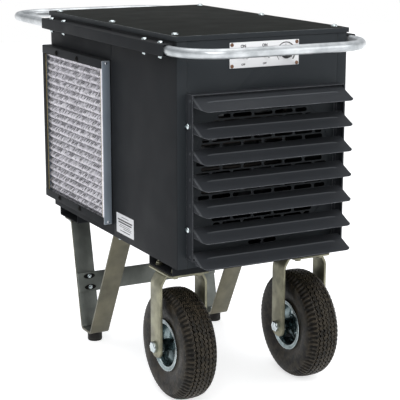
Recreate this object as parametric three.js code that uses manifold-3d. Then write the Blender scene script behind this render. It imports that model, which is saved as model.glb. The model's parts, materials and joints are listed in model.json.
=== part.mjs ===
// Portable electric forced air heater: a sheet-metal cabinet on two rigid castors and two
// V legs, with a push handle behind, a carry handle in front, a filter that slides out of
// its side rails, and seven louvre blades that turn one by one.
// Millimetres. X is to the right of the outlet, -Y is where the air blows, Z is up.
import * as THREE from "three";
import { mergeVertices } from "three/addons/utils/BufferGeometryUtils.js";
import Module from "manifold-3d";

const wasm = await Module();
wasm.setup();

// ---------------------------------------------------------------- driving dimensions
const GAP = 0.3; // clearance between pieces that touch
const SHEET = 1.5; // cabinet sheet steel

const CASING_WIDTH = 432;
const CASING_DEPTH = 722;
const WHEEL_RADIUS = 130;
const WHEEL_HEADROOM = 76; // top of the wheels to the cabinet's underside
const PANEL_HEIGHT = 510.5;
const FRONT_RETURN = 25; // side panel edge folded round onto the front
const SEAM_Y = -25; // joint between the side panel and the intake panel behind it
const SEAM_GAP = 0.5;
const PAN_FLOOR = 2;
const PAN_FLANGE = 22;

const LID_OVERHANG = 1.8; // air between the lid's skirt and the panels
const LID_SKIRT = 10.9;

const OUTLET_UP = 206; // centre of the air outlet and of the fan, above the underside
const OUTLET_RADIUS = 180;
const OUTLET_HALF_WIDTH = 174;
const GUARD_SHEET = 1.2;
const GUARD_SIDE = 13; // guard beyond the outlet's straight sides
const GUARD_OVERLAP = 3; // guard above and below the outlet
const SLOT_LENGTH = 47;
const SLOT_HEIGHT = 8;
const SLOT_PITCH_X = 53;
const SLOT_PITCH_Z = 12.7;
const SLOT_MARGIN = 6; // plain metal between a slot and the edge of the round opening

const LOUVRE_SIDE = 19; // louvre frame beyond the outlet's straight sides
const LOUVRE_DEPTH = 30;
const LOUVRE_BACK_FLANGE = 9;
const BLADE_COUNT = 7;
const BLADE_PITCH = 57.2;
const BLADE_CHORD = 56;
const BLADE_SHEET = 1.2;
const BLADE_SLOPE = 26; // degrees below the horizontal, as photographed
const BLADE_FIRST_PIVOT = 14; // top blade's pivot below the frame's outer top edge
const BLADE_LAST_PIVOT = 8.8; // bottom blade's pivot above the frame's outer bottom edge
const BLADE_PIVOT_FORWARD = 18; // pivot in front of the cabinet's face
const BLADE_OFFSET = 10.5; // sheet above its pivot line
const BLADE_BACK = 4.6; // back edge in front of the pivot, along the chord
const BLADE_SIDE_GAP = 0.6;
const BLADE_TAB = 1.5;
const BEAD_START = 12; // pressed stiffening bead, from the back edge
const BEAD_WIDTH = 5;
const BEAD_HEIGHT = 1.4;
const EAR_LENGTH = 32; // ear's run along the sheet, in front of the back edge
const EAR_FRONT = 5; // how far the ear reaches round the pivot
const EAR_WAIST = [11, 6.5]; // hollow of the ear's lower edge, in front of and above the pivot
const PIN_RADIUS = 2.5;
const PIN_HOLE_RADIUS = 3.0;

const RAIL_SETBACK = 8; // handle rail short of the cabinet at each end
const RAIL_WALL = 1.6;
const RAIL_PLAY = 4.2; // room beside the tube in its rail
const RAIL_BELOW_LID = 6.4;
const TUBE_RADIUS = 11.1; // 7/8 inch tube
const TUBE_WALL = 2;
const HANDLE_BEND = 98;
const FRONT_HANDLE_OUT = 103; // middle of the carry handle in front of the cabinet
const REAR_HANDLE_OUT = 282; // middle of the push handle behind the cabinet
const TUBE_IN_RAIL = 145; // length of tube held in the rail

const FILTER_UP = 29; // filter's bottom above the cabinet's underside
const FILTER_HEIGHT = 395;
const FILTER_BEHIND_SEAM = 6;
const FILTER_LENGTH = 376;
const FILTER_THICKNESS = 21.4;
const FILTER_FLANGE = 8.5;
const FILTER_WALL = 1.4;
const FILTER_GROOVE = 6;
const FILTER_CLEARANCE = 0.5; // above and below the filter
const FILTER_PLAY = 0.4; // each side of the filter, between a rail's flange and lip
const MEDIA_WAVES = 22;
const MEDIA_SHEET = 2.4;
const FILTER_RAIL_LIP = 20;
const FILTER_STOP_LIP = 14;
const INTAKE_MARGIN = 14; // intake opening, inside the filter's outline

const PLATE_WIDTH = 175;
const PLATE_HEIGHT = 56;
const PLATE_SHEET = 1.2;
const CONTROL_DOWN = 46.5; // controls below the panels' top
const CONTROL_SPACING = 54;
const SWITCH_BUSH_RADIUS = 5.8;
const SWITCH_BUSH_BORE = 4.4;
const SWITCH_BUSH_OUT = 7.5; // bush in front of the cabinet's face
const SWITCH_BODY = [16, 24, 26]; // wide, deep, high
const SWITCH_NUT_RADIUS = 8.4;
const SWITCH_NUT_HEIGHT = 2.4;
const TOGGLE_THROW = 26; // degrees from down to up
const TOGGLE_LENGTH = 20;
const TOGGLE_OUT = 2; // pivot in front of the cabinet's face
const TOGGLE_PLAY = 0.5; // between the lever's ball and the bush
const TOGGLE_NECK = 1.9;
const TOGGLE_TIP = 2.9;
const KNOB_RADIUS = 13;
const KNOB_LENGTH = 13;
const KNOB_TAPER = 3; // less radius at the front than at the skirt
const KNOB_CLEARANCE = 1; // knob in front of the control plate
const POINTER_WIDTH = 2.4;
const POINTER_HEIGHT = 1.2;
const SHAFT_RADIUS = 3;
const SHAFT_DEPTH = 5; // shaft behind the front panel's inner face
const DIAL_BODY = [40, 22, 40];

const SHELF_DOWN = 96.5; // floor of the wiring space below the panels' top
const SHROUD_FLANGE = 22;
const SHROUD_Y = -35;
const ORIFICE_RADIUS = 180;
const ORIFICE_LIP = 14;
const FAN_TIP_GAP = 7;
const FAN_BLADES = 5;
const FAN_CHORD = 96;
const FAN_SHEET = 2.4;
const FAN_PITCH = 28; // degrees between a blade and the fan's disc
const FAN_MIDDLE_Y = SHROUD_Y + 4;
const HUB_RADIUS = 28;
const HUB_LENGTH = 34;
const MOTOR_RADIUS = 66;
const MOTOR_LENGTH = 112;
const MOTOR_FRONT_Y = 22;
const MOTOR_BEARING_RADIUS = 26;
const MOTOR_SHAFT_RADIUS = 6.35;
const MOTOR_SHAFT_SEAT = 18; // shaft inside the motor's front
const BRACKET_CLEARANCE = 6; // bracket's arms outside the fan's orifice
const BRACKET_FOOT = 13;
const BRACKET_WIDTH = 40;
const BRACKET_SHEET = 4;

const ELEMENT_COUNT = 3;
const ELEMENT_RADIUS = 6;
const ELEMENT_BEND = 30;
const ELEMENT_PITCH = 116;
const ELEMENT_Y = -170;
const ELEMENT_REACH = 150;
const ELEMENT_PLATE_IN = 21; // plate inside the cabinet's left face
const ELEMENT_PLATE_DEPTH = 150;
const ELEMENT_PLATE_FOOT = 24;
const ELEMENT_TAIL = 12; // element ends beyond the plate

const CONTACTOR_PLACE = [-110, -200]; // x, y
const CONTACTOR_BASE = [56, 60, 4]; // wide, deep, top above the shelf
const CONTACTOR_BODY = [44, 74, 48];
const CONTACTOR_HEAD = [32, 44, 60];
const TERMINAL_PLACE = [60, -120];
const TERMINAL_LENGTH = 80;
const TERMINAL_WIDTH = 28;
const TERMINAL_BASE = 14;
const TERMINAL_HEIGHT = 24;
const TERMINAL_RIBS = 5;
const TERMINAL_RIB = 3;
const CUTOUT_PLACE = [100, -110];
const CUTOUT_RADIUS = 8;
const CUTOUT_FLANGE = 12;
const CUTOUT_DEPTH = 14;
const GLAND_X = 120;
const GLAND_UP = 64; // above the cabinet's underside
const GLAND_RADIUS = 12.5;
const GLAND_BORE = 7;
const GLAND_FLANGE = 17;
const GLAND_OUT = 26;
const GLAND_IN = 10;
const GLAND_NUT = 6;

const CHANNEL_WIDTH = 120;
const CHANNEL_HEIGHT = 26;
const CHANNEL_LENGTH = 416;
const CHANNEL_WALL = 2.5;
const CHANNEL_LIP = 18;
const FRONT_CHANNEL_IN = 99; // middle of the front channel behind the cabinet's face
const REAR_CHANNEL_IN = 75; // middle of the rear channel in front of the rear panel

const WHEEL_X = 162;
const TYRE_WIDTH = 82;
const RIM_RADIUS = 52;
const RIM_FLANGE = 61;
const RIM_INSET = 3; // rim's edge inside the tyre's side
const HUB_TUBE = 15;
const AXLE_RADIUS = 8;
const AXLE_CLEARANCE = 0.5;
const AXLE_NUT_RADIUS = 13.5; // across the corners
const AXLE_HEAD = 10;
const AXLE_NUT = 12;
const AXLE_END = 4; // thread beyond the nut
const SLEEVE_RADIUS = 11;
const SLEEVE_PLAY = 1; // between a sleeve and the hub
const HUB_GAP = 8; // hub's end to the yoke's arm
const RIM_SHEET = 3;
const TYRE_CROWN_HALF = 20; // flat middle of the hollow inside the tyre
const WHEEL_SIDES = 32;
const CASTER_PLATE_X = 102;
const CASTER_PLATE_Y = 114;
const CASTER_PLATE = 4;
const YOKE_BAR = 50.8; // 2 inch flat bar
const YOKE_SHEET = 6;
const YOKE_CLEARANCE = 13; // tyre to the inside of each arm
const YOKE_TOP_HALF = 43;
const YOKE_SLOPE = 26;

const LEG_BAR = 50.8;
const LEG_SHEET = 6.35;
const LEG_X = 177;
const LEG_FLAT_FRONT = 115; // these three are in front of the rear channel's middle
const LEG_FLAT_REAR = 60;
const LEG_FRONT_TOP = 278;
const LEG_TAB = 42;
const FOOT_HEIGHT = 24.5;
const FOOT_RADIUS = 19;
const CROSS_BAR_Z = 144;
const CROSS_BAR_LENGTH = 404;

// ---------------------------------------------------------------- worked-out places
const HALF_W = CASING_WIDTH / 2;
const HALF_D = CASING_DEPTH / 2;
const UNDERSIDE_Z = 2 * WHEEL_RADIUS + WHEEL_HEADROOM;
const PANEL_TOP = UNDERSIDE_Z + PANEL_HEIGHT;
const LID_TOP = PANEL_TOP + GAP + SHEET;
const INSIDE_X = HALF_W - SHEET - GAP; // room between the side panels
const INSIDE_Y = HALF_D - SHEET - GAP;
const FLOOR_Z = UNDERSIDE_Z + PAN_FLOOR + GAP;
const FACE_Y = -HALF_D - GAP; // what is fastened onto the front starts here
const OUTLET_Z = UNDERSIDE_Z + OUTLET_UP;
const GUARD_WIDTH = 2 * (OUTLET_HALF_WIDTH + GUARD_SIDE);
const GUARD_HEIGHT = 2 * (OUTLET_RADIUS + GUARD_OVERLAP);
const LOUVRE_WIDTH = 2 * (OUTLET_HALF_WIDTH + LOUVRE_SIDE);
const LOUVRE_HEIGHT = BLADE_FIRST_PIVOT + (BLADE_COUNT - 1) * BLADE_PITCH + BLADE_LAST_PIVOT;
const CONTROL_Z = PANEL_TOP - CONTROL_DOWN;
const SHELF_Z = PANEL_TOP - SHELF_DOWN;
const FAN_RADIUS = ORIFICE_RADIUS - FAN_TIP_GAP;
const BRACKET_HALF_HEIGHT = ORIFICE_RADIUS + BRACKET_CLEARANCE;
const ELEMENT_PLATE_X = ELEMENT_PLATE_IN - HALF_W;
const GLAND_Z = UNDERSIDE_Z + GLAND_UP;
const RAIL_WIDTH = 2 * TUBE_RADIUS + RAIL_WALL + RAIL_PLAY; // out from the cabinet's side
const RAIL_HEIGHT = 2 * (TUBE_RADIUS + RAIL_WALL + GAP);
const RAIL_LENGTH = CASING_DEPTH - 2 * RAIL_SETBACK;
const RAIL_CENTRE_Z = LID_TOP - LID_SKIRT - RAIL_BELOW_LID - RAIL_HEIGHT / 2;
const RAIL_X = HALF_W + GAP + RAIL_WIDTH / 2;
const FRONT_HANDLE_Y = -HALF_D - FRONT_HANDLE_OUT;
const REAR_HANDLE_Y = HALF_D + REAR_HANDLE_OUT;
const FILTER_BOTTOM = UNDERSIDE_Z + FILTER_UP;
const FILTER_TOP = FILTER_BOTTOM + FILTER_HEIGHT;
const FILTER_FRONT_Y = SEAM_Y + FILTER_BEHIND_SEAM;
const FILTER_REAR_Y = FILTER_FRONT_Y + FILTER_LENGTH;
const FILTER_RAIL_INNER = HALF_W + GAP;
const FILTER_INNER = FILTER_RAIL_INNER + SHEET + FILTER_PLAY;
const FILTER_OUTER = FILTER_INNER + FILTER_THICKNESS;
const FILTER_RAIL_OUTER = FILTER_OUTER + FILTER_PLAY + SHEET;
const CHANNEL_TOP = UNDERSIDE_Z - GAP;
const CHANNEL_BOTTOM = CHANNEL_TOP - CHANNEL_HEIGHT;
const FRONT_CHANNEL_Y = FRONT_CHANNEL_IN - HALF_D;
const REAR_CHANNEL_Y = HALF_D - REAR_CHANNEL_IN;
const YOKE_HALF = TYRE_WIDTH / 2 + YOKE_CLEARANCE + YOKE_SHEET; // outside of each arm
const HUB_HALF = YOKE_HALF - YOKE_SHEET - HUB_GAP; // half the hub's length
const RIM_WIDTH = TYRE_WIDTH - 2 * RIM_INSET;
const LEG_FLAT_FRONT_Y = REAR_CHANNEL_Y - LEG_FLAT_FRONT;
const LEG_FLAT_REAR_Y = REAR_CHANNEL_Y - LEG_FLAT_REAR;
const LEG_FRONT_TOP_Y = REAR_CHANNEL_Y - LEG_FRONT_TOP;
const REACH_FRONT = FRONT_HANDLE_Y - TUBE_RADIUS;
const REACH_REAR = REAR_HANDLE_Y + TUBE_RADIUS;
const ORIGIN_Y = (REACH_FRONT + REACH_REAR) / 2;

// ---------------------------------------------------------------- finishes
function finish(color, roughness, metalness) {
  return new THREE.MeshStandardMaterial({ color, roughness, metalness });
}
const blackPaint = finish(0x2f3032, 0.55, 0.2);
const zincPlate = finish(0x8d8d80, 0.4, 0.85);
const barSteel = finish(0x696a60, 0.5, 0.8);
const brightTube = finish(0xc9cbc9, 0.3, 0.9);
const aluminium = finish(0xa9adb3, 0.4, 0.85);
const filterMesh = finish(0xa3a1a7, 0.6, 0.6);
const satinPlate = finish(0xc3c3c3, 0.45, 0.5);
const blackPlastic = finish(0x161616, 0.5, 0);
const tyreRubber = finish(0x33322e, 0.85, 0);
const footRubber = finish(0x151412, 0.8, 0);
const motorPaint = finish(0x3a3d40, 0.5, 0.3);
const galvanised = finish(0x9a9d9c, 0.5, 0.7);
const elementSteel = finish(0x6e6259, 0.5, 0.7);

// ---------------------------------------------------------------- helpers
const heater = new THREE.Group();
heater.position.y = -ORIGIN_Y;

function addPart(name, geometry, material) {
  const mesh = new THREE.Mesh(geometry, material);
  mesh.name = name;
  heater.add(mesh);
}

function solidOf(geometry) {
  const bare = geometry.clone();
  bare.deleteAttribute("normal");
  bare.deleteAttribute("uv");
  const merged = mergeVertices(bare, 1e-3);
  const vertProperties = new Float32Array(merged.attributes.position.array);
  const triVerts = new Uint32Array(merged.index.array);
  return new wasm.Manifold(new wasm.Mesh({ numProp: 3, vertProperties, triVerts }));
}

function geometryOf(solid) {
  const { vertProperties, triVerts } = solid.getMesh();
  const geometry = new THREE.BufferGeometry();
  geometry.setAttribute("position", new THREE.BufferAttribute(new Float32Array(vertProperties), 3));
  geometry.setIndex(new THREE.BufferAttribute(new Uint32Array(triVerts), 1));
  return geometry;
}

function join(...geometries) {
  return geometryOf(geometries.map(solidOf).reduce((whole, piece) => whole.add(piece)));
}

function cut(base, ...tools) {
  return geometryOf(tools.map(solidOf).reduce((whole, tool) => whole.subtract(tool), solidOf(base)));
}

function keep(base, region) {
  return geometryOf(solidOf(base).intersect(solidOf(region)));
}

// A block between two values on each axis.
function block([x0, x1], [y0, y1], [z0, z1]) {
  const box = new THREE.BoxGeometry(Math.abs(x1 - x0), Math.abs(y1 - y0), Math.abs(z1 - z0));
  return box.translate((x0 + x1) / 2, (y0 + y1) / 2, (z0 + z1) / 2);
}

// An extrusion whose outline's two axes and direction lie on the object's own axes.
function extrudeOnto(shape, length, axisU, axisV, axisW, start) {
  const settings = { depth: length, bevelEnabled: false, curveSegments: 5 };
  const geometry = new THREE.ExtrudeGeometry(shape, settings);
  const basis = new THREE.Matrix4().makeBasis(axisU, axisV, axisW);
  return geometry.applyMatrix4(basis).translate(start.x, start.y, start.z);
}
const X = new THREE.Vector3(1, 0, 0);
const Y = new THREE.Vector3(0, 1, 0);
const Z = new THREE.Vector3(0, 0, 1);
const BACK = new THREE.Vector3(0, -1, 0);

function outline(points) {
  return new THREE.Shape(points.map(([u, v]) => new THREE.Vector2(u, v)));
}

// An outline of (y, z) points, run along X.
function alongX(shape, x0, x1) {
  return extrudeOnto(shape, x1 - x0, Y, Z, X, new THREE.Vector3(x0, 0, 0));
}

// An outline of (x, z) points, run along Y.
function alongY(shape, y0, y1) {
  return extrudeOnto(shape, y1 - y0, X, Z, BACK, new THREE.Vector3(0, y1, 0));
}

// An outline of (x, y) points, run along Z.
function alongZ(shape, z0, z1) {
  return extrudeOnto(shape, z1 - z0, X, Y, Z, new THREE.Vector3(0, 0, z0));
}

// A profile of (radius, along) points, spun round an axis through the given centre.
function spun(points, sides, axis, centre) {
  const profile = points.map(([r, a]) => new THREE.Vector2(r, a));
  if (THREE.ShapeUtils.isClockWise(profile)) profile.reverse();
  const geometry = new THREE.LatheGeometry(profile, sides);
  if (axis === "x") geometry.rotateZ(-Math.PI / 2);
  if (axis === "z") geometry.rotateX(Math.PI / 2);
  return geometry.translate(...centre);
}

// A round bar between two values along its axis, centred on (u, v) of the other two.
function rod(radius, [a0, a1], axis, [u, v], sides = 12) {
  const geometry = new THREE.CylinderGeometry(radius, radius, a1 - a0, sides);
  const middle = (a0 + a1) / 2;
  if (axis === "x") return geometry.rotateZ(-Math.PI / 2).translate(middle, u, v);
  if (axis === "y") return geometry.translate(u, middle, v);
  return geometry.rotateX(Math.PI / 2).translate(u, v, middle);
}

// The outline of a strip of even thickness that bends along a line of points.
function bentStrip(points, thickness) {
  const line = points.map(([u, v]) => new THREE.Vector2(u, v));
  const sides = [1, -1].map((side) => line.map((point, i) => {
    const before = line[Math.max(i, 1)].clone().sub(line[Math.max(i, 1) - 1]).normalize();
    const last = Math.min(i, line.length - 2);
    const after = line[last + 1].clone().sub(line[last]).normalize();
    const mitre = before.clone().add(after).normalize();
    const reach = (side * thickness) / 2 / mitre.dot(before);
    return [point.x - mitre.y * reach, point.y + mitre.x * reach];
  }));
  return outline([...sides[0], ...sides[1].reverse()]);
}

// A line of stations that an extrusion visits one by one, with mitred rings at the bends.
class StationLine extends THREE.Curve {
  constructor(stations) {
    super();
    this.stations = stations;
  }
  getPoint(t) {
    const place = t * (this.stations.length - 1);
    const i = Math.min(Math.floor(place + 1e-6), this.stations.length - 2);
    return this.stations[i].clone().lerp(this.stations[i + 1], place - i);
  }
  getPointAt(t) {
    return this.getPoint(t);
  }
  getTangentAt(t) {
    const i = Math.round(t * (this.stations.length - 1));
    const before = this.stations[Math.max(i - 1, 0)];
    const here = this.stations[i];
    const after = this.stations[Math.min(i + 1, this.stations.length - 1)];
    const into = here.clone().sub(before).normalize();
    return into.add(after.clone().sub(here).normalize()).normalize();
  }
}

// A round tube or, with no wall, a solid rod along the stations.
function sweep(stations, radius, wall, sides) {
  const ring = new THREE.Shape();
  ring.absarc(0, 0, radius, 0, 2 * Math.PI, false);
  if (wall > 0) {
    const bore = new THREE.Path();
    bore.absarc(0, 0, radius - wall, 0, 2 * Math.PI, true);
    ring.holes.push(bore);
  }
  const steps = stations.length - 1;
  const extrudePath = new StationLine(stations);
  const settings = { steps, curveSegments: sides, extrudePath, bevelEnabled: false };
  return new THREE.ExtrudeGeometry(ring, settings);
}

// Stations of a quarter or half bend, turned in a plane about a centre.
function bend(centre, from, towards, angle, steps) {
  return Array.from({ length: steps + 1 }, (_, i) => {
    const turn = (angle * i) / steps;
    const outward = from.clone().multiplyScalar(Math.cos(turn));
    return outward.addScaledVector(towards, Math.sin(turn)).add(centre);
  });
}

// The outline of a rectangle between two values on each of its axes.
function rectangle(u0, u1, v0, v1) {
  return outline([[u0, v0], [u1, v0], [u1, v1], [u0, v1]]);
}

// The air outlet: a round opening whose left and right sides are cut straight.
function outletShape() {
  const side = Math.acos(OUTLET_HALF_WIDTH / OUTLET_RADIUS);
  const shape = new THREE.Shape();
  shape.absarc(0, OUTLET_Z, OUTLET_RADIUS, side, Math.PI - side, false);
  shape.absarc(0, OUTLET_Z, OUTLET_RADIUS, Math.PI + side, 2 * Math.PI - side, false);
  return shape;
}

// The three holes for the switches' bushes and the thermostat's boss.
function controlHoles() {
  return [-1, 0, 1].map((i) => {
    const hole = new THREE.Path();
    const radius = SWITCH_BUSH_RADIUS + GAP;
    hole.absarc(i * CONTROL_SPACING, CONTROL_Z, radius, 0, 2 * Math.PI, true);
    return hole;
  });
}

// ---------------------------------------------------------------- cabinet
function basePan() {
  const outZ = [UNDERSIDE_Z, UNDERSIDE_Z + PAN_FLANGE];
  const outer = block([-INSIDE_X, INSIDE_X], [-INSIDE_Y, INSIDE_Y], outZ);
  const inX = INSIDE_X - SHEET;
  const inY = INSIDE_Y - SHEET;
  const inZ = [UNDERSIDE_Z + PAN_FLOOR, UNDERSIDE_Z + 2 * PAN_FLANGE];
  return cut(outer, block([-inX, inX], [-inY, inY], inZ));
}

// Plan outline of a side panel whose front edge is folded round onto the front.
function sidePanel(side, rearY) {
  const x = (inset) => side * (HALF_W - inset);
  const points = [
    [x(0), -HALF_D], [x(0), rearY], [x(SHEET), rearY],
    [x(SHEET), SHEET - HALF_D], [x(FRONT_RETURN), SHEET - HALF_D], [x(FRONT_RETURN), -HALF_D],
  ];
  return alongZ(outline(points), UNDERSIDE_Z, PANEL_TOP);
}

function intakePanel() {
  const y = [SEAM_Y + SEAM_GAP, HALF_D];
  const panel = block([-HALF_W, SHEET - HALF_W], y, [UNDERSIDE_Z, PANEL_TOP]);
  const openY = [FILTER_FRONT_Y + INTAKE_MARGIN, FILTER_REAR_Y - INTAKE_MARGIN];
  const openZ = [FILTER_BOTTOM + INTAKE_MARGIN, FILTER_TOP - INTAKE_MARGIN];
  return cut(panel, block([-HALF_W - SHEET, 2 * SHEET - HALF_W], openY, openZ));
}

function frontPanel() {
  const half = HALF_W - FRONT_RETURN - SEAM_GAP;
  const shape = rectangle(-half, half, UNDERSIDE_Z, PANEL_TOP);
  shape.holes.push(new THREE.Path(outletShape().getPoints(14)), ...controlHoles());
  return alongY(shape, -HALF_D, SHEET - HALF_D);
}

function rearPanel() {
  const panel = block([-INSIDE_X, INSIDE_X], [HALF_D - SHEET, HALF_D], [UNDERSIDE_Z, PANEL_TOP]);
  const reach = [HALF_D - 2 * SHEET, HALF_D + SHEET];
  return cut(panel, rod(GLAND_RADIUS + GAP, reach, "y", [GLAND_X, GLAND_Z], 16));
}

function topCover() {
  const inX = HALF_W + LID_OVERHANG;
  const inY = HALF_D + LID_OVERHANG;
  const top = LID_TOP;
  const outX = [-inX - SHEET, inX + SHEET];
  const outY = [-inY - SHEET, inY + SHEET];
  const outer = block(outX, outY, [top - LID_SKIRT, top]);
  return cut(outer, block([-inX, inX], [-inY, inY], [top - 2 * LID_SKIRT, top - SHEET]));
}

function buildCabinet() {
  addPart("base_pan", basePan(), blackPaint);
  addPart("left_side_panel", sidePanel(-1, SEAM_Y), blackPaint);
  addPart("left_intake_panel", intakePanel(), blackPaint);
  addPart("right_side_panel", sidePanel(1, HALF_D), blackPaint);
  addPart("front_panel", frontPanel(), blackPaint);
  addPart("rear_panel", rearPanel(), blackPaint);
  addPart("top_cover", topCover(), blackPaint);
}

// ---------------------------------------------------------------- filter and its rails
// A rail is a channel: an inner flange on the cabinet, a shelf, and an outer lip.
function filterRail(shelfZ, up) {
  const lipEnd = shelfZ + up * FILTER_RAIL_LIP;
  const points = [
    [-FILTER_RAIL_INNER, shelfZ], [-FILTER_RAIL_OUTER, shelfZ],
    [-FILTER_RAIL_OUTER, lipEnd], [SHEET - FILTER_RAIL_OUTER, lipEnd],
    [SHEET - FILTER_RAIL_OUTER, shelfZ + up * SHEET],
    [-FILTER_RAIL_INNER - SHEET, shelfZ + up * SHEET],
    [-FILTER_RAIL_INNER - SHEET, lipEnd], [-FILTER_RAIL_INNER, lipEnd],
  ];
  return alongY(outline(points), FILTER_FRONT_Y + 1, HALF_D);
}

function filterStop(bottom, top) {
  const rear = HALF_D;
  const front = FILTER_REAR_Y - FILTER_STOP_LIP;
  const points = [
    [-FILTER_RAIL_INNER, front], [-FILTER_RAIL_INNER, rear],
    [-FILTER_RAIL_OUTER, rear], [-FILTER_RAIL_OUTER, front],
    [SHEET - FILTER_RAIL_OUTER, front], [SHEET - FILTER_RAIL_OUTER, rear - SHEET],
    [-FILTER_RAIL_INNER - SHEET, rear - SHEET], [-FILTER_RAIL_INNER - SHEET, front],
  ];
  return alongZ(outline(points), bottom, top);
}

function filterFrame() {
  const x = [-FILTER_OUTER, -FILTER_INNER];
  const outer = block(x, [FILTER_FRONT_Y, FILTER_REAR_Y], [FILTER_BOTTOM, FILTER_TOP]);
  const ringed = (inset) => [
    [FILTER_FRONT_Y + inset, FILTER_REAR_Y - inset], [FILTER_BOTTOM + inset, FILTER_TOP - inset],
  ];
  const window = block([x[0] - 1, x[1] + 1], ...ringed(FILTER_FLANGE));
  const grooveX = [x[0] + FILTER_WALL, x[1] - FILTER_WALL];
  return cut(outer, window, block(grooveX, ...ringed(FILTER_FLANGE - FILTER_GROOVE)));
}

// Pleated mesh: a strip that waves in and out as it climbs, run along the filter.
function filterMedia() {
  const inset = FILTER_FLANGE - FILTER_GROOVE + GAP;
  const bottom = FILTER_BOTTOM + inset + MEDIA_SHEET / 2;
  const height = FILTER_HEIGHT - 2 * inset - MEDIA_SHEET;
  const middle = -(FILTER_INNER + FILTER_OUTER) / 2;
  const swing = FILTER_THICKNESS / 2 - FILTER_WALL - GAP - MEDIA_SHEET;
  const steps = 4;
  const wave = Array.from({ length: MEDIA_WAVES * steps + 1 }, (_, i) => {
    const turn = (2 * Math.PI * i) / steps;
    return [middle + swing * Math.cos(turn), bottom + (height * i) / (MEDIA_WAVES * steps)];
  });
  return alongY(bentStrip(wave, MEDIA_SHEET), FILTER_FRONT_Y + inset, FILTER_REAR_Y - inset);
}

function buildFilter() {
  const upperShelf = FILTER_TOP + FILTER_CLEARANCE + SHEET;
  const lowerShelf = FILTER_BOTTOM - FILTER_CLEARANCE - SHEET;
  addPart("filter_rail_upper", filterRail(upperShelf, -1), blackPaint);
  addPart("filter_rail_lower", filterRail(lowerShelf, 1), blackPaint);
  const bottom = lowerShelf + FILTER_RAIL_LIP + GAP;
  const top = upperShelf - FILTER_RAIL_LIP - GAP;
  addPart("filter_stop", filterStop(bottom, top), blackPaint);
  addPart("filter_frame", filterFrame(), aluminium);
  addPart("filter_media", filterMedia(), filterMesh);
}

// ---------------------------------------------------------------- handles
function handleRail(side) {
  const inner = side * (HALF_W + GAP);
  const outer = side * (HALF_W + GAP + RAIL_WIDTH);
  const web = outer - side * RAIL_WALL;
  const low = RAIL_CENTRE_Z - RAIL_HEIGHT / 2;
  const high = RAIL_CENTRE_Z + RAIL_HEIGHT / 2;
  const points = [
    [inner, low], [outer, low], [outer, high], [inner, high],
    [inner, high - RAIL_WALL], [web, high - RAIL_WALL],
    [web, low + RAIL_WALL], [inner, low + RAIL_WALL],
  ];
  return alongY(outline(points), -RAIL_LENGTH / 2, RAIL_LENGTH / 2);
}

// A U of round tube, from inside one rail, round the bends, into the other.
function handleTube(reachY) {
  const way = Math.sign(reachY);
  const startY = way * (RAIL_LENGTH / 2 - TUBE_IN_RAIL);
  const bendY = reachY - way * HANDLE_BEND;
  const outward = new THREE.Vector3(0, way * HANDLE_BEND, 0);
  const corner = (side) => new THREE.Vector3(side * (RAIL_X - HANDLE_BEND), bendY, RAIL_CENTRE_Z);
  const sideways = (side) => new THREE.Vector3(side * HANDLE_BEND, 0, 0);
  const stations = [
    new THREE.Vector3(-RAIL_X, startY, RAIL_CENTRE_Z),
    ...bend(corner(-1), sideways(-1), outward, Math.PI / 2, 7),
    ...bend(corner(1), outward, sideways(1), Math.PI / 2, 7),
    new THREE.Vector3(RAIL_X, startY, RAIL_CENTRE_Z),
  ];
  return sweep(stations, TUBE_RADIUS, TUBE_WALL, 6);
}

function buildHandles() {
  addPart("left_handle_rail", handleRail(-1), blackPaint);
  addPart("right_handle_rail", handleRail(1), blackPaint);
  addPart("front_handle", handleTube(FRONT_HANDLE_Y), brightTube);
  addPart("rear_handle", handleTube(REAR_HANDLE_Y), brightTube);
}

// ---------------------------------------------------------------- outlet and louvre
const LOUVRE_TOP = OUTLET_Z + LOUVRE_HEIGHT / 2;
const PIVOT_Y = -HALF_D - BLADE_PIVOT_FORWARD;
const pivotZ = (i) => LOUVRE_TOP - BLADE_FIRST_PIVOT - i * BLADE_PITCH;

function louvreFrame() {
  const half = LOUVRE_WIDTH / 2;
  const z = (inset) => [LOUVRE_TOP - LOUVRE_HEIGHT + inset, LOUVRE_TOP - inset];
  const x = (inset) => [inset - half, half - inset];
  const front = FACE_Y - LOUVRE_DEPTH;
  const outer = block(x(0), [front, FACE_Y], z(0));
  const hollow = block(x(SHEET), [front - 1, FACE_Y - SHEET], z(SHEET));
  const window = block(x(LOUVRE_BACK_FLANGE), [front, FACE_Y + 1], z(LOUVRE_BACK_FLANGE));
  const holes = Array.from({ length: BLADE_COUNT }, (_, i) => (
    rod(PIN_HOLE_RADIUS, [-half - 1, half + 1], "x", [PIVOT_Y, pivotZ(i)], 8)
  ));
  return cut(outer, hollow, window, ...holes);
}

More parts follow.
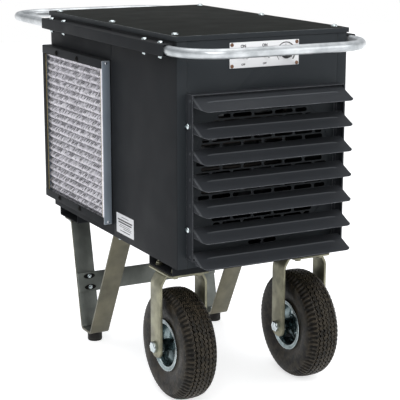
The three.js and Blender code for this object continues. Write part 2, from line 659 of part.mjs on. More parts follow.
// One blade: sloping sheet with a bead, an ear at each end, and two pivot pins.
function louvreBlade(i) {
  const inside = LOUVRE_WIDTH / 2 - SHEET - BLADE_SIDE_GAP;
  const beadMiddle = BEAD_START + BEAD_WIDTH / 2;
  const beadEnd = BEAD_START + BEAD_WIDTH;
  const sheetLine = [
    [0, 0], [BEAD_START, 0], [beadMiddle, BEAD_HEIGHT], [beadEnd, 0], [BLADE_CHORD, 0],
  ].map(([s, n]) => [-(BLADE_BACK + s), BLADE_OFFSET + n]);
  const sheet = alongX(bentStrip(sheetLine, BLADE_SHEET), -inside, inside);
  const ear = outline([
    [-BLADE_BACK, BLADE_OFFSET], [EAR_FRONT, EAR_FRONT - 1], [EAR_FRONT, 1 - EAR_FRONT],
    [1 - EAR_FRONT, -EAR_FRONT], [-EAR_WAIST[0], EAR_WAIST[1]],
    [-BLADE_BACK - EAR_LENGTH, BLADE_OFFSET],
  ]);
  const ears = [-inside, inside - BLADE_TAB].map((x) => alongX(ear, x, x + BLADE_TAB));
  const pinEnd = LOUVRE_WIDTH / 2 - GAP;
  const pins = [[-pinEnd, -inside + BLADE_TAB], [inside - BLADE_TAB, pinEnd]];
  const pinRods = pins.map((reach) => rod(PIN_RADIUS, reach, "x", [0, 0], 8));
  const blade = join(sheet, ...ears, ...pinRods);
  blade.rotateX(THREE.MathUtils.degToRad(BLADE_SLOPE));
  return blade.translate(0, PIVOT_Y, pivotZ(i));
}

// Staggered rows of slots, kept inside the outlet's round opening.
function guardSlots(y) {
  const slots = [];
  const radius = OUTLET_RADIUS - SLOT_MARGIN;
  const rows = Math.floor(radius / SLOT_PITCH_Z);
  for (let row = -rows; row <= rows; row += 1) {
    const middle = OUTLET_Z + row * SLOT_PITCH_Z;
    const reach = Math.abs(row) * SLOT_PITCH_Z + SLOT_HEIGHT / 2;
    const chord = Math.sqrt(Math.max(radius ** 2 - reach ** 2, 0));
    const limit = Math.min(chord, OUTLET_HALF_WIDTH - SLOT_MARGIN);
    const shift = Math.abs(row) % 2 ? SLOT_PITCH_X / 2 : 0;
    for (let x = shift - 4 * SLOT_PITCH_X; x <= 4 * SLOT_PITCH_X; x += SLOT_PITCH_X) {
      const left = Math.max(x - SLOT_LENGTH / 2, -limit);
      const right = Math.min(x + SLOT_LENGTH / 2, limit);
      if (right - left > SLOT_HEIGHT) {
        slots.push(block([left, right], y, [middle - SLOT_HEIGHT / 2, middle + SLOT_HEIGHT / 2]));
      }
    }
  }
  return slots;
}

function outletGuard() {
  const half = GUARD_WIDTH / 2;
  const back = -HALF_D + SHEET + GAP;
  const z = [OUTLET_Z - GUARD_HEIGHT / 2, OUTLET_Z + GUARD_HEIGHT / 2];
  const plate = block([-half, half], [back, back + GUARD_SHEET], z);
  return cut(plate, ...guardSlots([back - 1, back + GUARD_SHEET + 1]));
}

function buildOutlet() {
  addPart("louvre_frame", louvreFrame(), blackPaint);
  for (let i = 0; i < BLADE_COUNT; i += 1) {
    addPart(`louvre_blade_${i + 1}`, louvreBlade(i), blackPaint);
  }
  addPart("outlet_guard", outletGuard(), blackPaint);
}

// ---------------------------------------------------------------- controls
const PLATE_FRONT = FACE_Y - PLATE_SHEET;
const PANEL_BACK = SHEET + GAP - HALF_D; // what is fastened behind the front panel starts here

function controlPlate() {
  const half = PLATE_HEIGHT / 2;
  const shape = rectangle(-PLATE_WIDTH / 2, PLATE_WIDTH / 2, CONTROL_Z - half, CONTROL_Z + half);
  shape.holes.push(...controlHoles());
  return alongY(shape, PLATE_FRONT, FACE_Y);
}

function bodyBehindPanel(x, [wide, deep, high]) {
  const z = [CONTROL_Z - high / 2, CONTROL_Z + high / 2];
  return block([x - wide / 2, x + wide / 2], [PANEL_BACK, PANEL_BACK + deep], z);
}

// A switch: the block behind the panel and the threaded bush with its nut in front.
function switchBody(x) {
  const place = [x, CONTROL_Z];
  const bushFront = -HALF_D - SWITCH_BUSH_OUT;
  const bush = rod(SWITCH_BUSH_RADIUS, [bushFront, PANEL_BACK + 1], "y", place, 16);
  const nutBack = PLATE_FRONT - GAP;
  const nut = rod(SWITCH_NUT_RADIUS, [nutBack - SWITCH_NUT_HEIGHT, nutBack], "y", place, 6);
  const bore = rod(SWITCH_BUSH_BORE, [bushFront - 1, PANEL_BACK], "y", place, 16);
  return cut(join(bodyBehindPanel(x, SWITCH_BODY), bush, nut), bore);
}

// The lever, spun round Y and tipped down to where the photograph shows it.
function toggle(x) {
  const tip = TOGGLE_LENGTH;
  const ball = SWITCH_BUSH_BORE - TOGGLE_PLAY;
  const diagonal = ball * Math.SQRT1_2;
  const profile = [
    [0, ball], [diagonal, diagonal], [ball, 0], [diagonal, -diagonal], [TOGGLE_NECK, -1.5 * ball],
    [TOGGLE_TIP, TOGGLE_TIP / 2 - tip], [TOGGLE_TIP * 0.75, -tip], [0, -tip],
  ];
  const lever = spun(profile, 12, "y", [0, 0, 0]);
  lever.rotateX(THREE.MathUtils.degToRad(TOGGLE_THROW / 2));
  return lever.translate(x, -HALF_D - TOGGLE_OUT, CONTROL_Z);
}

function thermostatBody(x) {
  const place = [x, CONTROL_Z];
  const bossFront = PLATE_FRONT - KNOB_CLEARANCE;
  const boss = rod(SWITCH_BUSH_RADIUS, [bossFront, PANEL_BACK + 1], "y", place, 16);
  const boreY = [bossFront - 1, PANEL_BACK + SHAFT_DEPTH + 1];
  const bore = rod(SHAFT_RADIUS + GAP, boreY, "y", place, 16);
  return cut(join(bodyBehindPanel(x, DIAL_BODY), boss), bore);
}

function thermostatKnob(x) {
  const back = PLATE_FRONT - KNOB_CLEARANCE - GAP;
  const front = back - KNOB_LENGTH;
  const shaftEnd = SHEET - HALF_D + SHAFT_DEPTH;
  const neck = KNOB_RADIUS - KNOB_TAPER + 1;
  const profile = [
    [0, shaftEnd], [SHAFT_RADIUS, shaftEnd], [SHAFT_RADIUS, back],
    [KNOB_RADIUS, back], [KNOB_RADIUS, back - KNOB_TAPER], [neck, back - KNOB_TAPER - 1],
    [KNOB_RADIUS - KNOB_TAPER, front], [0, front],
  ];
  const body = spun(profile, 24, "y", [x, 0, CONTROL_Z]);
  const pointerX = [x - POINTER_WIDTH / 2, x + POINTER_WIDTH / 2];
  const pointerTop = CONTROL_Z + KNOB_RADIUS - KNOB_TAPER - POINTER_HEIGHT / 2;
  return join(body, block(pointerX, [front - POINTER_HEIGHT, front + 2], [CONTROL_Z, pointerTop]));
}

function buildControls() {
  addPart("control_plate", controlPlate(), satinPlate);
  addPart("heat_switch_body", switchBody(-CONTROL_SPACING), blackPlastic);
  addPart("heat_toggle", toggle(-CONTROL_SPACING), brightTube);
  addPart("fan_switch_body", switchBody(0), blackPlastic);
  addPart("fan_toggle", toggle(0), brightTube);
  addPart("thermostat_body", thermostatBody(CONTROL_SPACING), galvanised);
  addPart("thermostat_knob", thermostatKnob(CONTROL_SPACING), blackPlastic);
}

// ---------------------------------------------------------------- fan and heating elements
function fanShroud() {
  const wallY = [SHROUD_Y, SHROUD_Y + SHEET];
  const lowZ = UNDERSIDE_Z + PAN_FLANGE + GAP;
  const wall = block([-INSIDE_X, INSIDE_X], wallY, [lowZ, PANEL_TOP]);
  const flangeY = [SHROUD_Y, SHROUD_Y + SHROUD_FLANGE];
  const flanges = [-1, 1].map((side) => (
    block([side * INSIDE_X, side * (INSIDE_X - SHEET)], flangeY, [lowZ, PANEL_TOP])
  ));
  const footX = INSIDE_X - 2 * SHEET;
  const foot = block([-footX, footX], wallY, [FLOOR_Z, lowZ + 1]);
  const lipRear = SHROUD_Y + ORIFICE_LIP;
  const lip = rod(ORIFICE_RADIUS + SHEET, [SHROUD_Y, lipRear], "y", [0, OUTLET_Z], 36);
  const orifice = rod(ORIFICE_RADIUS, [SHROUD_Y - 1, lipRear + 1], "y", [0, OUTLET_Z], 36);
  return cut(join(wall, ...flanges, foot, lip), orifice);
}

function fanRotor() {
  const hubFront = FAN_MIDDLE_Y - HUB_LENGTH / 2;
  const hub = rod(HUB_RADIUS, [hubFront, hubFront + HUB_LENGTH], "y", [0, OUTLET_Z], 20);
  const shaftRear = MOTOR_FRONT_Y + MOTOR_SHAFT_SEAT;
  const shaft = rod(MOTOR_SHAFT_RADIUS, [FAN_MIDDLE_Y, shaftRear], "y", [0, OUTLET_Z], 12);
  const root = HUB_RADIUS / 2;
  const tip = FAN_RADIUS + 10;
  const blades = Array.from({ length: FAN_BLADES }, (_, i) => {
    const blade = new THREE.BoxGeometry(tip - root, FAN_CHORD, FAN_SHEET);
    blade.rotateX(THREE.MathUtils.degToRad(90 - FAN_PITCH));
    blade.translate((tip + root) / 2, 0, 0);
    blade.rotateY((2 * Math.PI * i) / FAN_BLADES);
    return blade.translate(0, FAN_MIDDLE_Y, OUTLET_Z);
  });
  const sweptY = [FAN_MIDDLE_Y - FAN_CHORD, shaftRear + 1];
  return keep(join(hub, shaft, ...blades), rod(FAN_RADIUS, sweptY, "y", [0, OUTLET_Z], 30));
}

function fanMotor() {
  const rear = MOTOR_FRONT_Y + MOTOR_LENGTH;
  const seat = MOTOR_FRONT_Y + MOTOR_SHAFT_SEAT + 2;
  const bore = MOTOR_SHAFT_RADIUS + GAP;
  const shoulder = MOTOR_RADIUS - 10;
  const profile = [
    [0, seat], [bore, seat], [bore, MOTOR_FRONT_Y],
    [MOTOR_BEARING_RADIUS - 4, MOTOR_FRONT_Y], [MOTOR_BEARING_RADIUS, MOTOR_FRONT_Y + 8],
    [shoulder, MOTOR_FRONT_Y + 12], [MOTOR_RADIUS, MOTOR_FRONT_Y + 22],
    [MOTOR_RADIUS, rear - 14], [shoulder, rear], [0, rear],
  ];
  return spun(profile, 28, "y", [0, 0, OUTLET_Z]);
}

// A U-shaped strap behind the motor, with its feet on the fan bulkhead.
function motorBracket() {
  const wall = SHROUD_Y + SHEET + GAP + BRACKET_SHEET / 2;
  const rear = MOTOR_FRONT_Y + MOTOR_LENGTH + GAP + BRACKET_SHEET / 2;
  const h = BRACKET_HALF_HEIGHT;
  const end = h + BRACKET_FOOT;
  const line = [[wall, end], [wall, h], [rear, h], [rear, -h], [wall, -h], [wall, -end]];
  const strap = alongX(bentStrip(line, BRACKET_SHEET), -BRACKET_WIDTH / 2, BRACKET_WIDTH / 2);
  return strap.translate(0, 0, OUTLET_Z);
}

const elementZ = (i) => OUTLET_Z + (i - (ELEMENT_COUNT - 1) / 2) * ELEMENT_PITCH;

function heatingElement(i) {
  const start = ELEMENT_PLATE_X - ELEMENT_TAIL;
  const up = new THREE.Vector3(0, 0, ELEMENT_BEND);
  const along = new THREE.Vector3(ELEMENT_BEND, 0, 0);
  const centre = new THREE.Vector3(ELEMENT_REACH, ELEMENT_Y, elementZ(i));
  const stations = [
    new THREE.Vector3(start, ELEMENT_Y, elementZ(i) + ELEMENT_BEND),
    ...bend(centre, up, along, Math.PI / 2, 4),
    ...bend(centre, along, up.clone().negate(), Math.PI / 2, 4).slice(1),
    new THREE.Vector3(start, ELEMENT_Y, elementZ(i) - ELEMENT_BEND),
  ];
  return sweep(stations, ELEMENT_RADIUS, 0, 4);
}

function elementPlate() {
  const x = [ELEMENT_PLATE_X, ELEMENT_PLATE_X + SHEET];
  const y = [ELEMENT_Y - ELEMENT_PLATE_DEPTH / 2, ELEMENT_Y + ELEMENT_PLATE_DEPTH / 2];
  const wall = block(x, y, [FLOOR_Z, SHELF_Z - GAP]);
  const footX = [x[0], x[0] + ELEMENT_PLATE_FOOT];
  const foot = block(footX, y, [FLOOR_Z, FLOOR_Z + SHEET]);
  const head = block(footX, y, [SHELF_Z - GAP - SHEET, SHELF_Z - GAP]);
  const holes = [];
  for (let i = 0; i < ELEMENT_COUNT; i += 1) {
    for (const way of [-1, 1]) {
      const place = [ELEMENT_Y, elementZ(i) + way * ELEMENT_BEND];
      holes.push(rod(ELEMENT_RADIUS + 2 * GAP, [x[0] - 1, x[1] + 1], "x", place, 12));
    }
  }
  return cut(join(wall, foot, head), ...holes);
}

function buildInside() {
  addPart("fan_shroud", fanShroud(), galvanised);
  addPart("fan_motor", fanMotor(), motorPaint);
  addPart("motor_bracket", motorBracket(), galvanised);
  addPart("fan_blades", fanRotor(), galvanised);
  for (let i = 0; i < ELEMENT_COUNT; i += 1) {
    addPart(`heating_element_${i + 1}`, heatingElement(i), elementSteel);
  }
  addPart("element_plate", elementPlate(), galvanised);
}

// ---------------------------------------------------------------- wiring space
const WIRING_FLOOR = SHELF_Z + SHEET + GAP;

// A block that stands on the shelf, centred on a place, up to a height above it.
function onShelf([x, y], [wide, deep, high]) {
  const z = [WIRING_FLOOR, WIRING_FLOOR + high];
  return block([x - wide / 2, x + wide / 2], [y - deep / 2, y + deep / 2], z);
}

function terminalBlock() {
  const [x, y] = TERMINAL_PLACE;
  const base = onShelf(TERMINAL_PLACE, [TERMINAL_LENGTH, TERMINAL_WIDTH, TERMINAL_BASE]);
  const ribs = Array.from({ length: TERMINAL_RIBS }, (_, i) => {
    const along = (i / (TERMINAL_RIBS - 1) - 0.5) * (TERMINAL_LENGTH - TERMINAL_RIB);
    return onShelf([x + along, y], [TERMINAL_RIB, TERMINAL_WIDTH, TERMINAL_HEIGHT]);
  });
  return join(base, ...ribs);
}

function contactor() {
  const blocks = [CONTACTOR_BASE, CONTACTOR_BODY, CONTACTOR_HEAD];
  return join(...blocks.map((size) => onShelf(CONTACTOR_PLACE, size)));
}

function overheatCutout() {
  const top = SHELF_Z - GAP;
  const bottom = top - CUTOUT_DEPTH;
  const profile = [
    [0, bottom], [CUTOUT_RADIUS - 2, bottom], [CUTOUT_RADIUS, bottom + 3],
    [CUTOUT_RADIUS, top - 2], [CUTOUT_FLANGE, top - 2], [CUTOUT_FLANGE, top], [0, top],
  ];
  return spun(profile, 16, "z", [...CUTOUT_PLACE, 0]);
}

// Body through the rear panel, with a flange and a cap outside and a nut inside.
function cableGland() {
  const face = HALF_D + GAP;
  const inner = HALF_D - SHEET - GAP;
  const flangeFace = face + 7;
  const cap = GLAND_FLANGE - 2;
  const profile = [
    [GLAND_BORE, inner - GLAND_IN], [GLAND_RADIUS, inner - GLAND_IN], [GLAND_RADIUS, face],
    [GLAND_FLANGE, face], [GLAND_FLANGE, flangeFace], [cap, flangeFace + 2],
    [cap, face + GLAND_OUT - 6], [cap - 4, face + GLAND_OUT], [GLAND_BORE, face + GLAND_OUT],
    [GLAND_BORE, inner - GLAND_IN],
  ];
  const body = spun(profile, 16, "y", [GLAND_X, 0, GLAND_Z]);
  const nut = rod(GLAND_FLANGE, [inner - GLAND_NUT, inner], "y", [GLAND_X, GLAND_Z], 6);
  const boreY = [inner - GLAND_NUT - 1, inner + 1];
  return join(body, cut(nut, rod(GLAND_BORE + 2, boreY, "y", [GLAND_X, GLAND_Z], 12)));
}

function buildWiring() {
  const shelfZ = [SHELF_Z, SHELF_Z + SHEET];
  const shelf = block([-INSIDE_X, INSIDE_X], [-INSIDE_Y, SHROUD_Y - GAP], shelfZ);
  addPart("control_shelf", shelf, galvanised);
  addPart("contactor", contactor(), blackPlastic);
  addPart("terminal_block", terminalBlock(), blackPlastic);
  addPart("overheat_cutout", overheatCutout(), galvanised);
  addPart("cable_gland", cableGland(), blackPlastic);
}

// ---------------------------------------------------------------- undercarriage
// A channel that opens upward, with lips turned in under the base pan.
function crossChannel(centreY) {
  const half = CHANNEL_WIDTH / 2 - CHANNEL_WALL / 2;
  const low = CHANNEL_BOTTOM + CHANNEL_WALL / 2;
  const high = CHANNEL_TOP - CHANNEL_WALL / 2;
  const line = [
    [centreY - half + CHANNEL_LIP, high], [centreY - half, high], [centreY - half, low],
    [centreY + half, low], [centreY + half, high], [centreY + half - CHANNEL_LIP, high],
  ];
  return alongX(bentStrip(line, CHANNEL_WALL), -CHANNEL_LENGTH / 2, CHANNEL_LENGTH / 2);
}

// Mounting plate and the yoke of flat bar that holds the axle, welded together.
function casterBracket(side) {
  const x = side * WHEEL_X;
  const y = FRONT_CHANNEL_Y;
  const plateTop = CHANNEL_BOTTOM - GAP;
  const yokeTop = plateTop - CASTER_PLATE;
  const halfX = CASTER_PLATE_X / 2;
  const halfY = CASTER_PLATE_Y / 2;
  const plate = block([x - halfX, x + halfX], [y - halfY, y + halfY], [yokeTop, plateTop]);
  const bar = YOKE_HALF - YOKE_SHEET / 2;
  const top = yokeTop - YOKE_SHEET / 2 + 0.5;
  const shoulder = yokeTop - YOKE_SLOPE;
  const line = [
    [x - bar, WHEEL_RADIUS], [x - bar, shoulder], [x - YOKE_TOP_HALF, top],
    [x + YOKE_TOP_HALF, top], [x + bar, shoulder], [x + bar, WHEEL_RADIUS],
  ];
  const yoke = alongY(bentStrip(line, YOKE_SHEET), y - YOKE_BAR / 2, y + YOKE_BAR / 2);
  const ends = [-1, 1].map((way) => {
    const inner = x + way * (YOKE_HALF - YOKE_SHEET);
    const outer = x + way * YOKE_HALF;
    return rod(YOKE_BAR / 2, [Math.min(inner, outer), Math.max(inner, outer)], "x", [y, WHEEL_RADIUS], 20);
  });
  const through = [x - 2 * YOKE_HALF, x + 2 * YOKE_HALF];
  const axleHole = rod(AXLE_RADIUS + GAP, through, "x", [y, WHEEL_RADIUS], 16);
  return cut(join(plate, yoke, ...ends), axleHole);
}

// Axle bolt with its head, nut and the two spacer sleeves beside the hub.
function axleBolt(side) {
  const x = side * WHEEL_X;
  const y = FRONT_CHANNEL_Y;
  const place = [y, WHEEL_RADIUS];
  const armOut = YOKE_HALF + GAP;
  const armIn = YOKE_HALF - YOKE_SHEET - GAP;
  const hubEnd = HUB_HALF + SLEEVE_PLAY;
  const shankX = [x - armOut - AXLE_HEAD, x + armOut + AXLE_NUT + AXLE_END];
  const shank = rod(AXLE_RADIUS, shankX, "x", place, 16);
  const ends = [[x - armOut - AXLE_HEAD, x - armOut], [x + armOut, x + armOut + AXLE_NUT]];
  const hexes = ends.map((reach) => rod(AXLE_NUT_RADIUS, reach, "x", place, 6));
  const sleeves = [[x - armIn, x - hubEnd], [x + hubEnd, x + armIn]];
  return join(shank, ...hexes, ...sleeves.map((reach) => rod(SLEEVE_RADIUS, reach, "x", place, 16)));
}

function wheelRim(side) {
  const half = RIM_WIDTH / 2;
  const bore = AXLE_RADIUS + AXLE_CLEARANCE;
  const well = RIM_RADIUS - RIM_SHEET;
  const discEdge = RIM_RADIUS - 14;
  // One half of the profile, from the hub out to the flange and back over the drum.
  const facing = [
    [bore, HUB_HALF], [HUB_TUBE, HUB_HALF], [HUB_TUBE, 2 * RIM_SHEET], [discEdge, RIM_SHEET],
    [well, 4 * RIM_SHEET], [well, half - 2], [RIM_FLANGE, half],
    [RIM_FLANGE, half - RIM_SHEET], [RIM_RADIUS, half - 2 * RIM_SHEET],
  ];
  const mirrored = facing.map(([r, a]) => [r, -a]).reverse();
  const profile = [...facing, ...mirrored, facing[0]];
  return spun(profile, WHEEL_SIDES, "x", [side * WHEEL_X, FRONT_CHANNEL_Y, WHEEL_RADIUS]);
}

// A pneumatic tyre: a carcass open towards the rim, with its beads inside the flanges.
function tyre(side) {
  const half = TYRE_WIDTH / 2;
  const bead = RIM_WIDTH / 2 - RIM_SHEET - 2 * GAP;
  const foot = RIM_RADIUS + GAP;
  const belly = (RIM_FLANGE + WHEEL_RADIUS) / 2; // radius where the tyre is widest
  const shoulder = WHEEL_RADIUS - 8;
  const outer = [
    [foot, -bead + 3], [RIM_FLANGE + 2, -bead - GAP], [belly - 17, 2 - half], [belly, -half],
    [belly + 15, 2 - half], [shoulder, 8 - half], [WHEEL_RADIUS - 1.5, 15 - half],
    [WHEEL_RADIUS, 24 - half],
  ];
  const crown = WHEEL_RADIUS - 14;
  const hollow = [
    [foot, bead - 12], [belly - 25, bead - 9], [belly, half - 9], [crown, TYRE_CROWN_HALF],
  ];
  const mirror = (line) => line.map(([r, a]) => [r, -a]).reverse();
  const profile = [...outer, ...mirror(outer), ...hollow, ...mirror(hollow), outer[0]];
  return spun(profile, WHEEL_SIDES, "x", [side * WHEEL_X, FRONT_CHANNEL_Y, WHEEL_RADIUS]);
}

const LEG_FLAT_Z = FOOT_HEIGHT + GAP + LEG_SHEET / 2;
const LEG_REAR_TOP_Z = CHANNEL_BOTTOM - GAP - LEG_SHEET / 2;
const LEG_FRONT_TOP_Z = UNDERSIDE_Z - GAP - LEG_SHEET / 2;

// A V of flat bar: a tab under the pan, down to a short flat foot, up to the rear channel.
function leg(side) {
  const rearTab = REAR_CHANNEL_Y + LEG_TAB;
  const line = [
    [LEG_FRONT_TOP_Y - LEG_TAB, LEG_FRONT_TOP_Z], [LEG_FRONT_TOP_Y, LEG_FRONT_TOP_Z],
    [LEG_FLAT_FRONT_Y, LEG_FLAT_Z], [LEG_FLAT_REAR_Y, LEG_FLAT_Z],
    [REAR_CHANNEL_Y, LEG_REAR_TOP_Z], [rearTab, LEG_REAR_TOP_Z],
  ];
  const x = side * LEG_X;
  return alongX(bentStrip(line, LEG_SHEET), x - LEG_BAR / 2, x + LEG_BAR / 2);
}

function crossBar() {
  const rise = LEG_REAR_TOP_Z - LEG_FLAT_Z;
  const run = REAR_CHANNEL_Y - LEG_FLAT_REAR_Y;
  const tilt = Math.atan2(run, rise);
  const legY = LEG_FLAT_REAR_Y + ((CROSS_BAR_Z - LEG_FLAT_Z) * run) / rise;
  const away = LEG_SHEET + GAP;
  const bar = new THREE.BoxGeometry(CROSS_BAR_LENGTH, LEG_SHEET, LEG_BAR);
  bar.rotateX(-tilt);
  return bar.translate(0, legY - away * Math.cos(tilt), CROSS_BAR_Z + away * Math.sin(tilt));
}

function rubberFoot(side) {
  const footY = (LEG_FLAT_FRONT_Y + LEG_FLAT_REAR_Y) / 2;
  const profile = [
    [0, 0], [FOOT_RADIUS - 3.5, 0], [FOOT_RADIUS - 2, 2], [FOOT_RADIUS, FOOT_HEIGHT - 4],
    [FOOT_RADIUS, FOOT_HEIGHT], [0, FOOT_HEIGHT],
  ];
  return spun(profile, 20, "z", [side * LEG_X, footY, 0]);
}

function buildUndercarriage() {
  addPart("front_channel", crossChannel(FRONT_CHANNEL_Y), blackPaint);
  addPart("rear_channel", crossChannel(REAR_CHANNEL_Y), blackPaint);
  for (const [word, side] of [["left", -1], ["right", 1]]) {
    addPart(`${word}_caster_bracket`, casterBracket(side), zincPlate);
    addPart(`${word}_axle_bolt`, axleBolt(side), zincPlate);
    addPart(`${word}_rim`, wheelRim(side), zincPlate);
    addPart(`${word}_tyre`, tyre(side), tyreRubber);
    addPart(`${word}_leg`, leg(side), barSteel);
    addPart(`${word}_foot`, rubberFoot(side), footRubber);
  }
  addPart("leg_cross_bar", crossBar(), barSteel);
}

buildCabinet();
buildFilter();
buildHandles();
buildOutlet();
buildControls();
buildInside();
buildWiring();
buildUndercarriage();

export default heater;
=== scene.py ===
# %% [markdown]
# # A forced air heater on wheels
# The heater is a black sheet-metal cabinet with a louvre in front, an air filter on its
# left side, a bright tube handle at each end, two pneumatic wheels and two steel V legs.
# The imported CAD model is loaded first. It fixes every size and place, so each piece
# below is measured from the box of a CAD node and then given its fine surface.

# %% Load the frame
import json
import math
import random

import bmesh
import bpy
from mathutils import Matrix, Vector

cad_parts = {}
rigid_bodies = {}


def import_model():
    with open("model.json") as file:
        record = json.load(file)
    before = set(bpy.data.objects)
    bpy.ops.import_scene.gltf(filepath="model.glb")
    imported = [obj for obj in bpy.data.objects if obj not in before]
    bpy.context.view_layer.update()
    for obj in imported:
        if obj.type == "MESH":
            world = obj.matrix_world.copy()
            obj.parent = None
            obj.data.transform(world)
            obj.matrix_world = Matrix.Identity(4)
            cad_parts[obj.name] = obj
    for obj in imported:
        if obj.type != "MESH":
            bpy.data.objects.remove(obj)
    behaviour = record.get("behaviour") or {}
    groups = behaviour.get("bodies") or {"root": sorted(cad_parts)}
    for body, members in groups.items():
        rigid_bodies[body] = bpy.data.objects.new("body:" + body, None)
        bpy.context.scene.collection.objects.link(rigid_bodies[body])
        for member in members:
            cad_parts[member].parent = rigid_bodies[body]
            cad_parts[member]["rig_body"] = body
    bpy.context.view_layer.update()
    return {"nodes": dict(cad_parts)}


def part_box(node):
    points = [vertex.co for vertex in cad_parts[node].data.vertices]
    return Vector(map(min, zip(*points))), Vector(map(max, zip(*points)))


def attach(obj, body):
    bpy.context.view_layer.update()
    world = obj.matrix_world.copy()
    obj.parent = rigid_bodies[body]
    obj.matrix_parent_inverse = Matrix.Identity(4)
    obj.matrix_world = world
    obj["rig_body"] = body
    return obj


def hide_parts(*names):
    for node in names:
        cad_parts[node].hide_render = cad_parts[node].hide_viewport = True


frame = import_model()
MM = 0.001
SIDES = ((-1, "left"), (1, "right"))


def show(item):
    """Put a new object into the scene."""
    bpy.context.scene.collection.objects.link(item)
    return item


# %% [markdown]
# ## The view
# The heater was photographed from its front left, a little above the lid, with a long
# lens. A long lens keeps the cabinet's edges nearly parallel. The camera was worked
# out from the cabinet's own corners, so the values are places in the heater's frame.

# %% Camera
CAMERA_PLACE = (-1.4595, -2.9252, 1.1341)
CAMERA_AZIMUTH = -27.66
CAMERA_ELEVATION = 12.65

camera_data = bpy.data.cameras.new("photo_camera")
camera_data.sensor_width = 36
camera_data.lens = 118.1
camera_data.shift_x = 0.0032
camera_data.shift_y = -0.0206
camera = show(bpy.data.objects.new("photo_camera", camera_data))
camera.location = CAMERA_PLACE
camera.rotation_euler = (math.radians(90 - CAMERA_ELEVATION), 0, math.radians(CAMERA_AZIMUTH))
bpy.context.scene.camera = camera
print("camera at", CAMERA_PLACE, "lens", camera_data.lens)

# %% [markdown]
# ## Selecting in code
# Modelling by hand means pointing at things. Here a small test takes the place of the
# mouse: it looks at a face's place or normal and says whether it is wanted.

# %% Selection helpers
def rest():
    """Leave edit mode and deselect everything."""
    if bpy.context.mode != "OBJECT":
        bpy.ops.object.mode_set(mode="OBJECT")
    bpy.ops.object.select_all(action="DESELECT")


def take(*pieces):
    """Select these pieces only, with the first one active."""
    rest()
    for piece in pieces:
        piece.select_set(True)
    bpy.context.view_layer.objects.active = pieces[0]


def choose(piece, kind, test=lambda item: True):
    """In edit mode, select the verts, edges or faces that pass the test."""
    if bpy.context.mode != "EDIT_MESH":
        take(piece)
        bpy.ops.object.mode_set(mode="EDIT")
    bpy.ops.mesh.select_mode(type={"verts": "VERT", "edges": "EDGE", "faces": "FACE"}[kind])
    bpy.ops.mesh.select_all(action="DESELECT")
    mesh = bmesh.from_edit_mesh(piece.data)
    mesh.normal_update()
    chosen = [item for item in getattr(mesh, kind) if test(item)]
    for item in chosen:
        item.select_set(True)
    mesh.select_flush_mode()
    bmesh.update_edit_mesh(piece.data)
    return len(chosen)


def middle(edge):
    """Half way along an edge."""
    return (edge.verts[0].co + edge.verts[1].co) / 2


def runs(edge, axis):
    """True if an edge lies along an axis, 0 for X, 1 for Y and 2 for Z."""
    along = edge.verts[1].co - edge.verts[0].co
    return along.length > 0 and abs(along[axis]) > 0.999 * along.length


# %% Finishing helpers
def named(piece, name):
    piece.name = piece.data.name = name
    return piece


def drop(*pieces):
    """Throw away pieces that were only needed to make others."""
    for piece in pieces:
        bpy.data.objects.remove(piece)


def fix_place():
    """Put the selected piece's place, turn and scale into its mesh."""
    bpy.ops.object.transform_apply(location=True, rotation=True, scale=True)


def apply_modifiers(piece):
    take(piece)
    for modifier in list(piece.modifiers):
        bpy.ops.object.modifier_apply(modifier=modifier.name)


def settle(piece, smooth=35):
    """Put a piece's place into its mesh and shade it smooth up to an angle."""
    apply_modifiers(piece)
    fix_place()
    bpy.ops.object.shade_smooth_by_angle(angle=math.radians(smooth))
    rest()


def bevel(piece, width, segments=2, angle=30):
    """Round every edge sharper than an angle, with a Bevel modifier."""
    modifier = piece.modifiers.new("rounded", "BEVEL")
    modifier.width = width
    modifier.segments = segments
    modifier.limit_method = "ANGLE"
    modifier.angle_limit = math.radians(angle)
    apply_modifiers(piece)


def round_off(piece, kind, test, width, segments):
    """Round only the verts or edges that pass the test."""
    choose(piece, kind, test)
    affect = "VERTICES" if kind == "verts" else "EDGES"
    bpy.ops.mesh.bevel(offset=width, segments=segments, affect=affect)
    rest()


def thicken(piece, thickness, offset=0, even=False):
    """Give a surface a wall, both ways with offset 0 and inwards with offset -1."""
    wall = piece.modifiers.new("wall", "SOLIDIFY")
    wall.thickness = thickness
    wall.offset = offset
    wall.use_even_offset = even
    apply_modifiers(piece)


def cut_away(piece, tool, crossing=False):
    """Take a tool's shape out of a piece; crossing says that its parts overlap."""
    cut = piece.modifiers.new("cut", "BOOLEAN")
    cut.operation = "DIFFERENCE"
    cut.object = tool
    cut.solver = "EXACT"
    cut.use_self = crossing
    apply_modifiers(piece)
    drop(tool)


def turn_outwards():
    """In edit mode, make every face of a closed shape point outwards."""
    bpy.ops.mesh.select_all(action="SELECT")
    bpy.ops.mesh.normals_make_consistent(inside=False)
    rest()


def clean(piece):
    """Merge doubles, and turn every face outwards."""
    choose(piece, "verts")
    bpy.ops.mesh.remove_doubles(threshold=1e-6)
    turn_outwards()


def copy_of(piece, name, matrix=Matrix()):
    """A copy with its own mesh, moved by a matrix."""
    twin = piece.copy()
    twin.data = piece.data.copy()
    twin.data.transform(matrix)
    return show(named(twin, name))


def fuse(name, pieces):
    """Join loose pieces that are one part on the real object."""
    take(*pieces)
    bpy.ops.object.join()
    rest()
    return named(pieces[0], name)


# %% [markdown]
# ## Starting shapes
# A block, a rod and a bent strip are where most sheet-metal parts begin. A strip is an
# edge drawn from bend to bend, its corners rounded, and then given its thickness, which
# is how a press brake makes it.

# %% Starting shapes
def block(name, low, high):
    """A box between two opposite corners."""
    low, high = Vector(low), Vector(high)
    rest()
    bpy.ops.mesh.primitive_cube_add(size=1, location=(low + high) / 2)
    piece = named(bpy.context.object, name)
    piece.scale = high - low
    fix_place()
    return piece


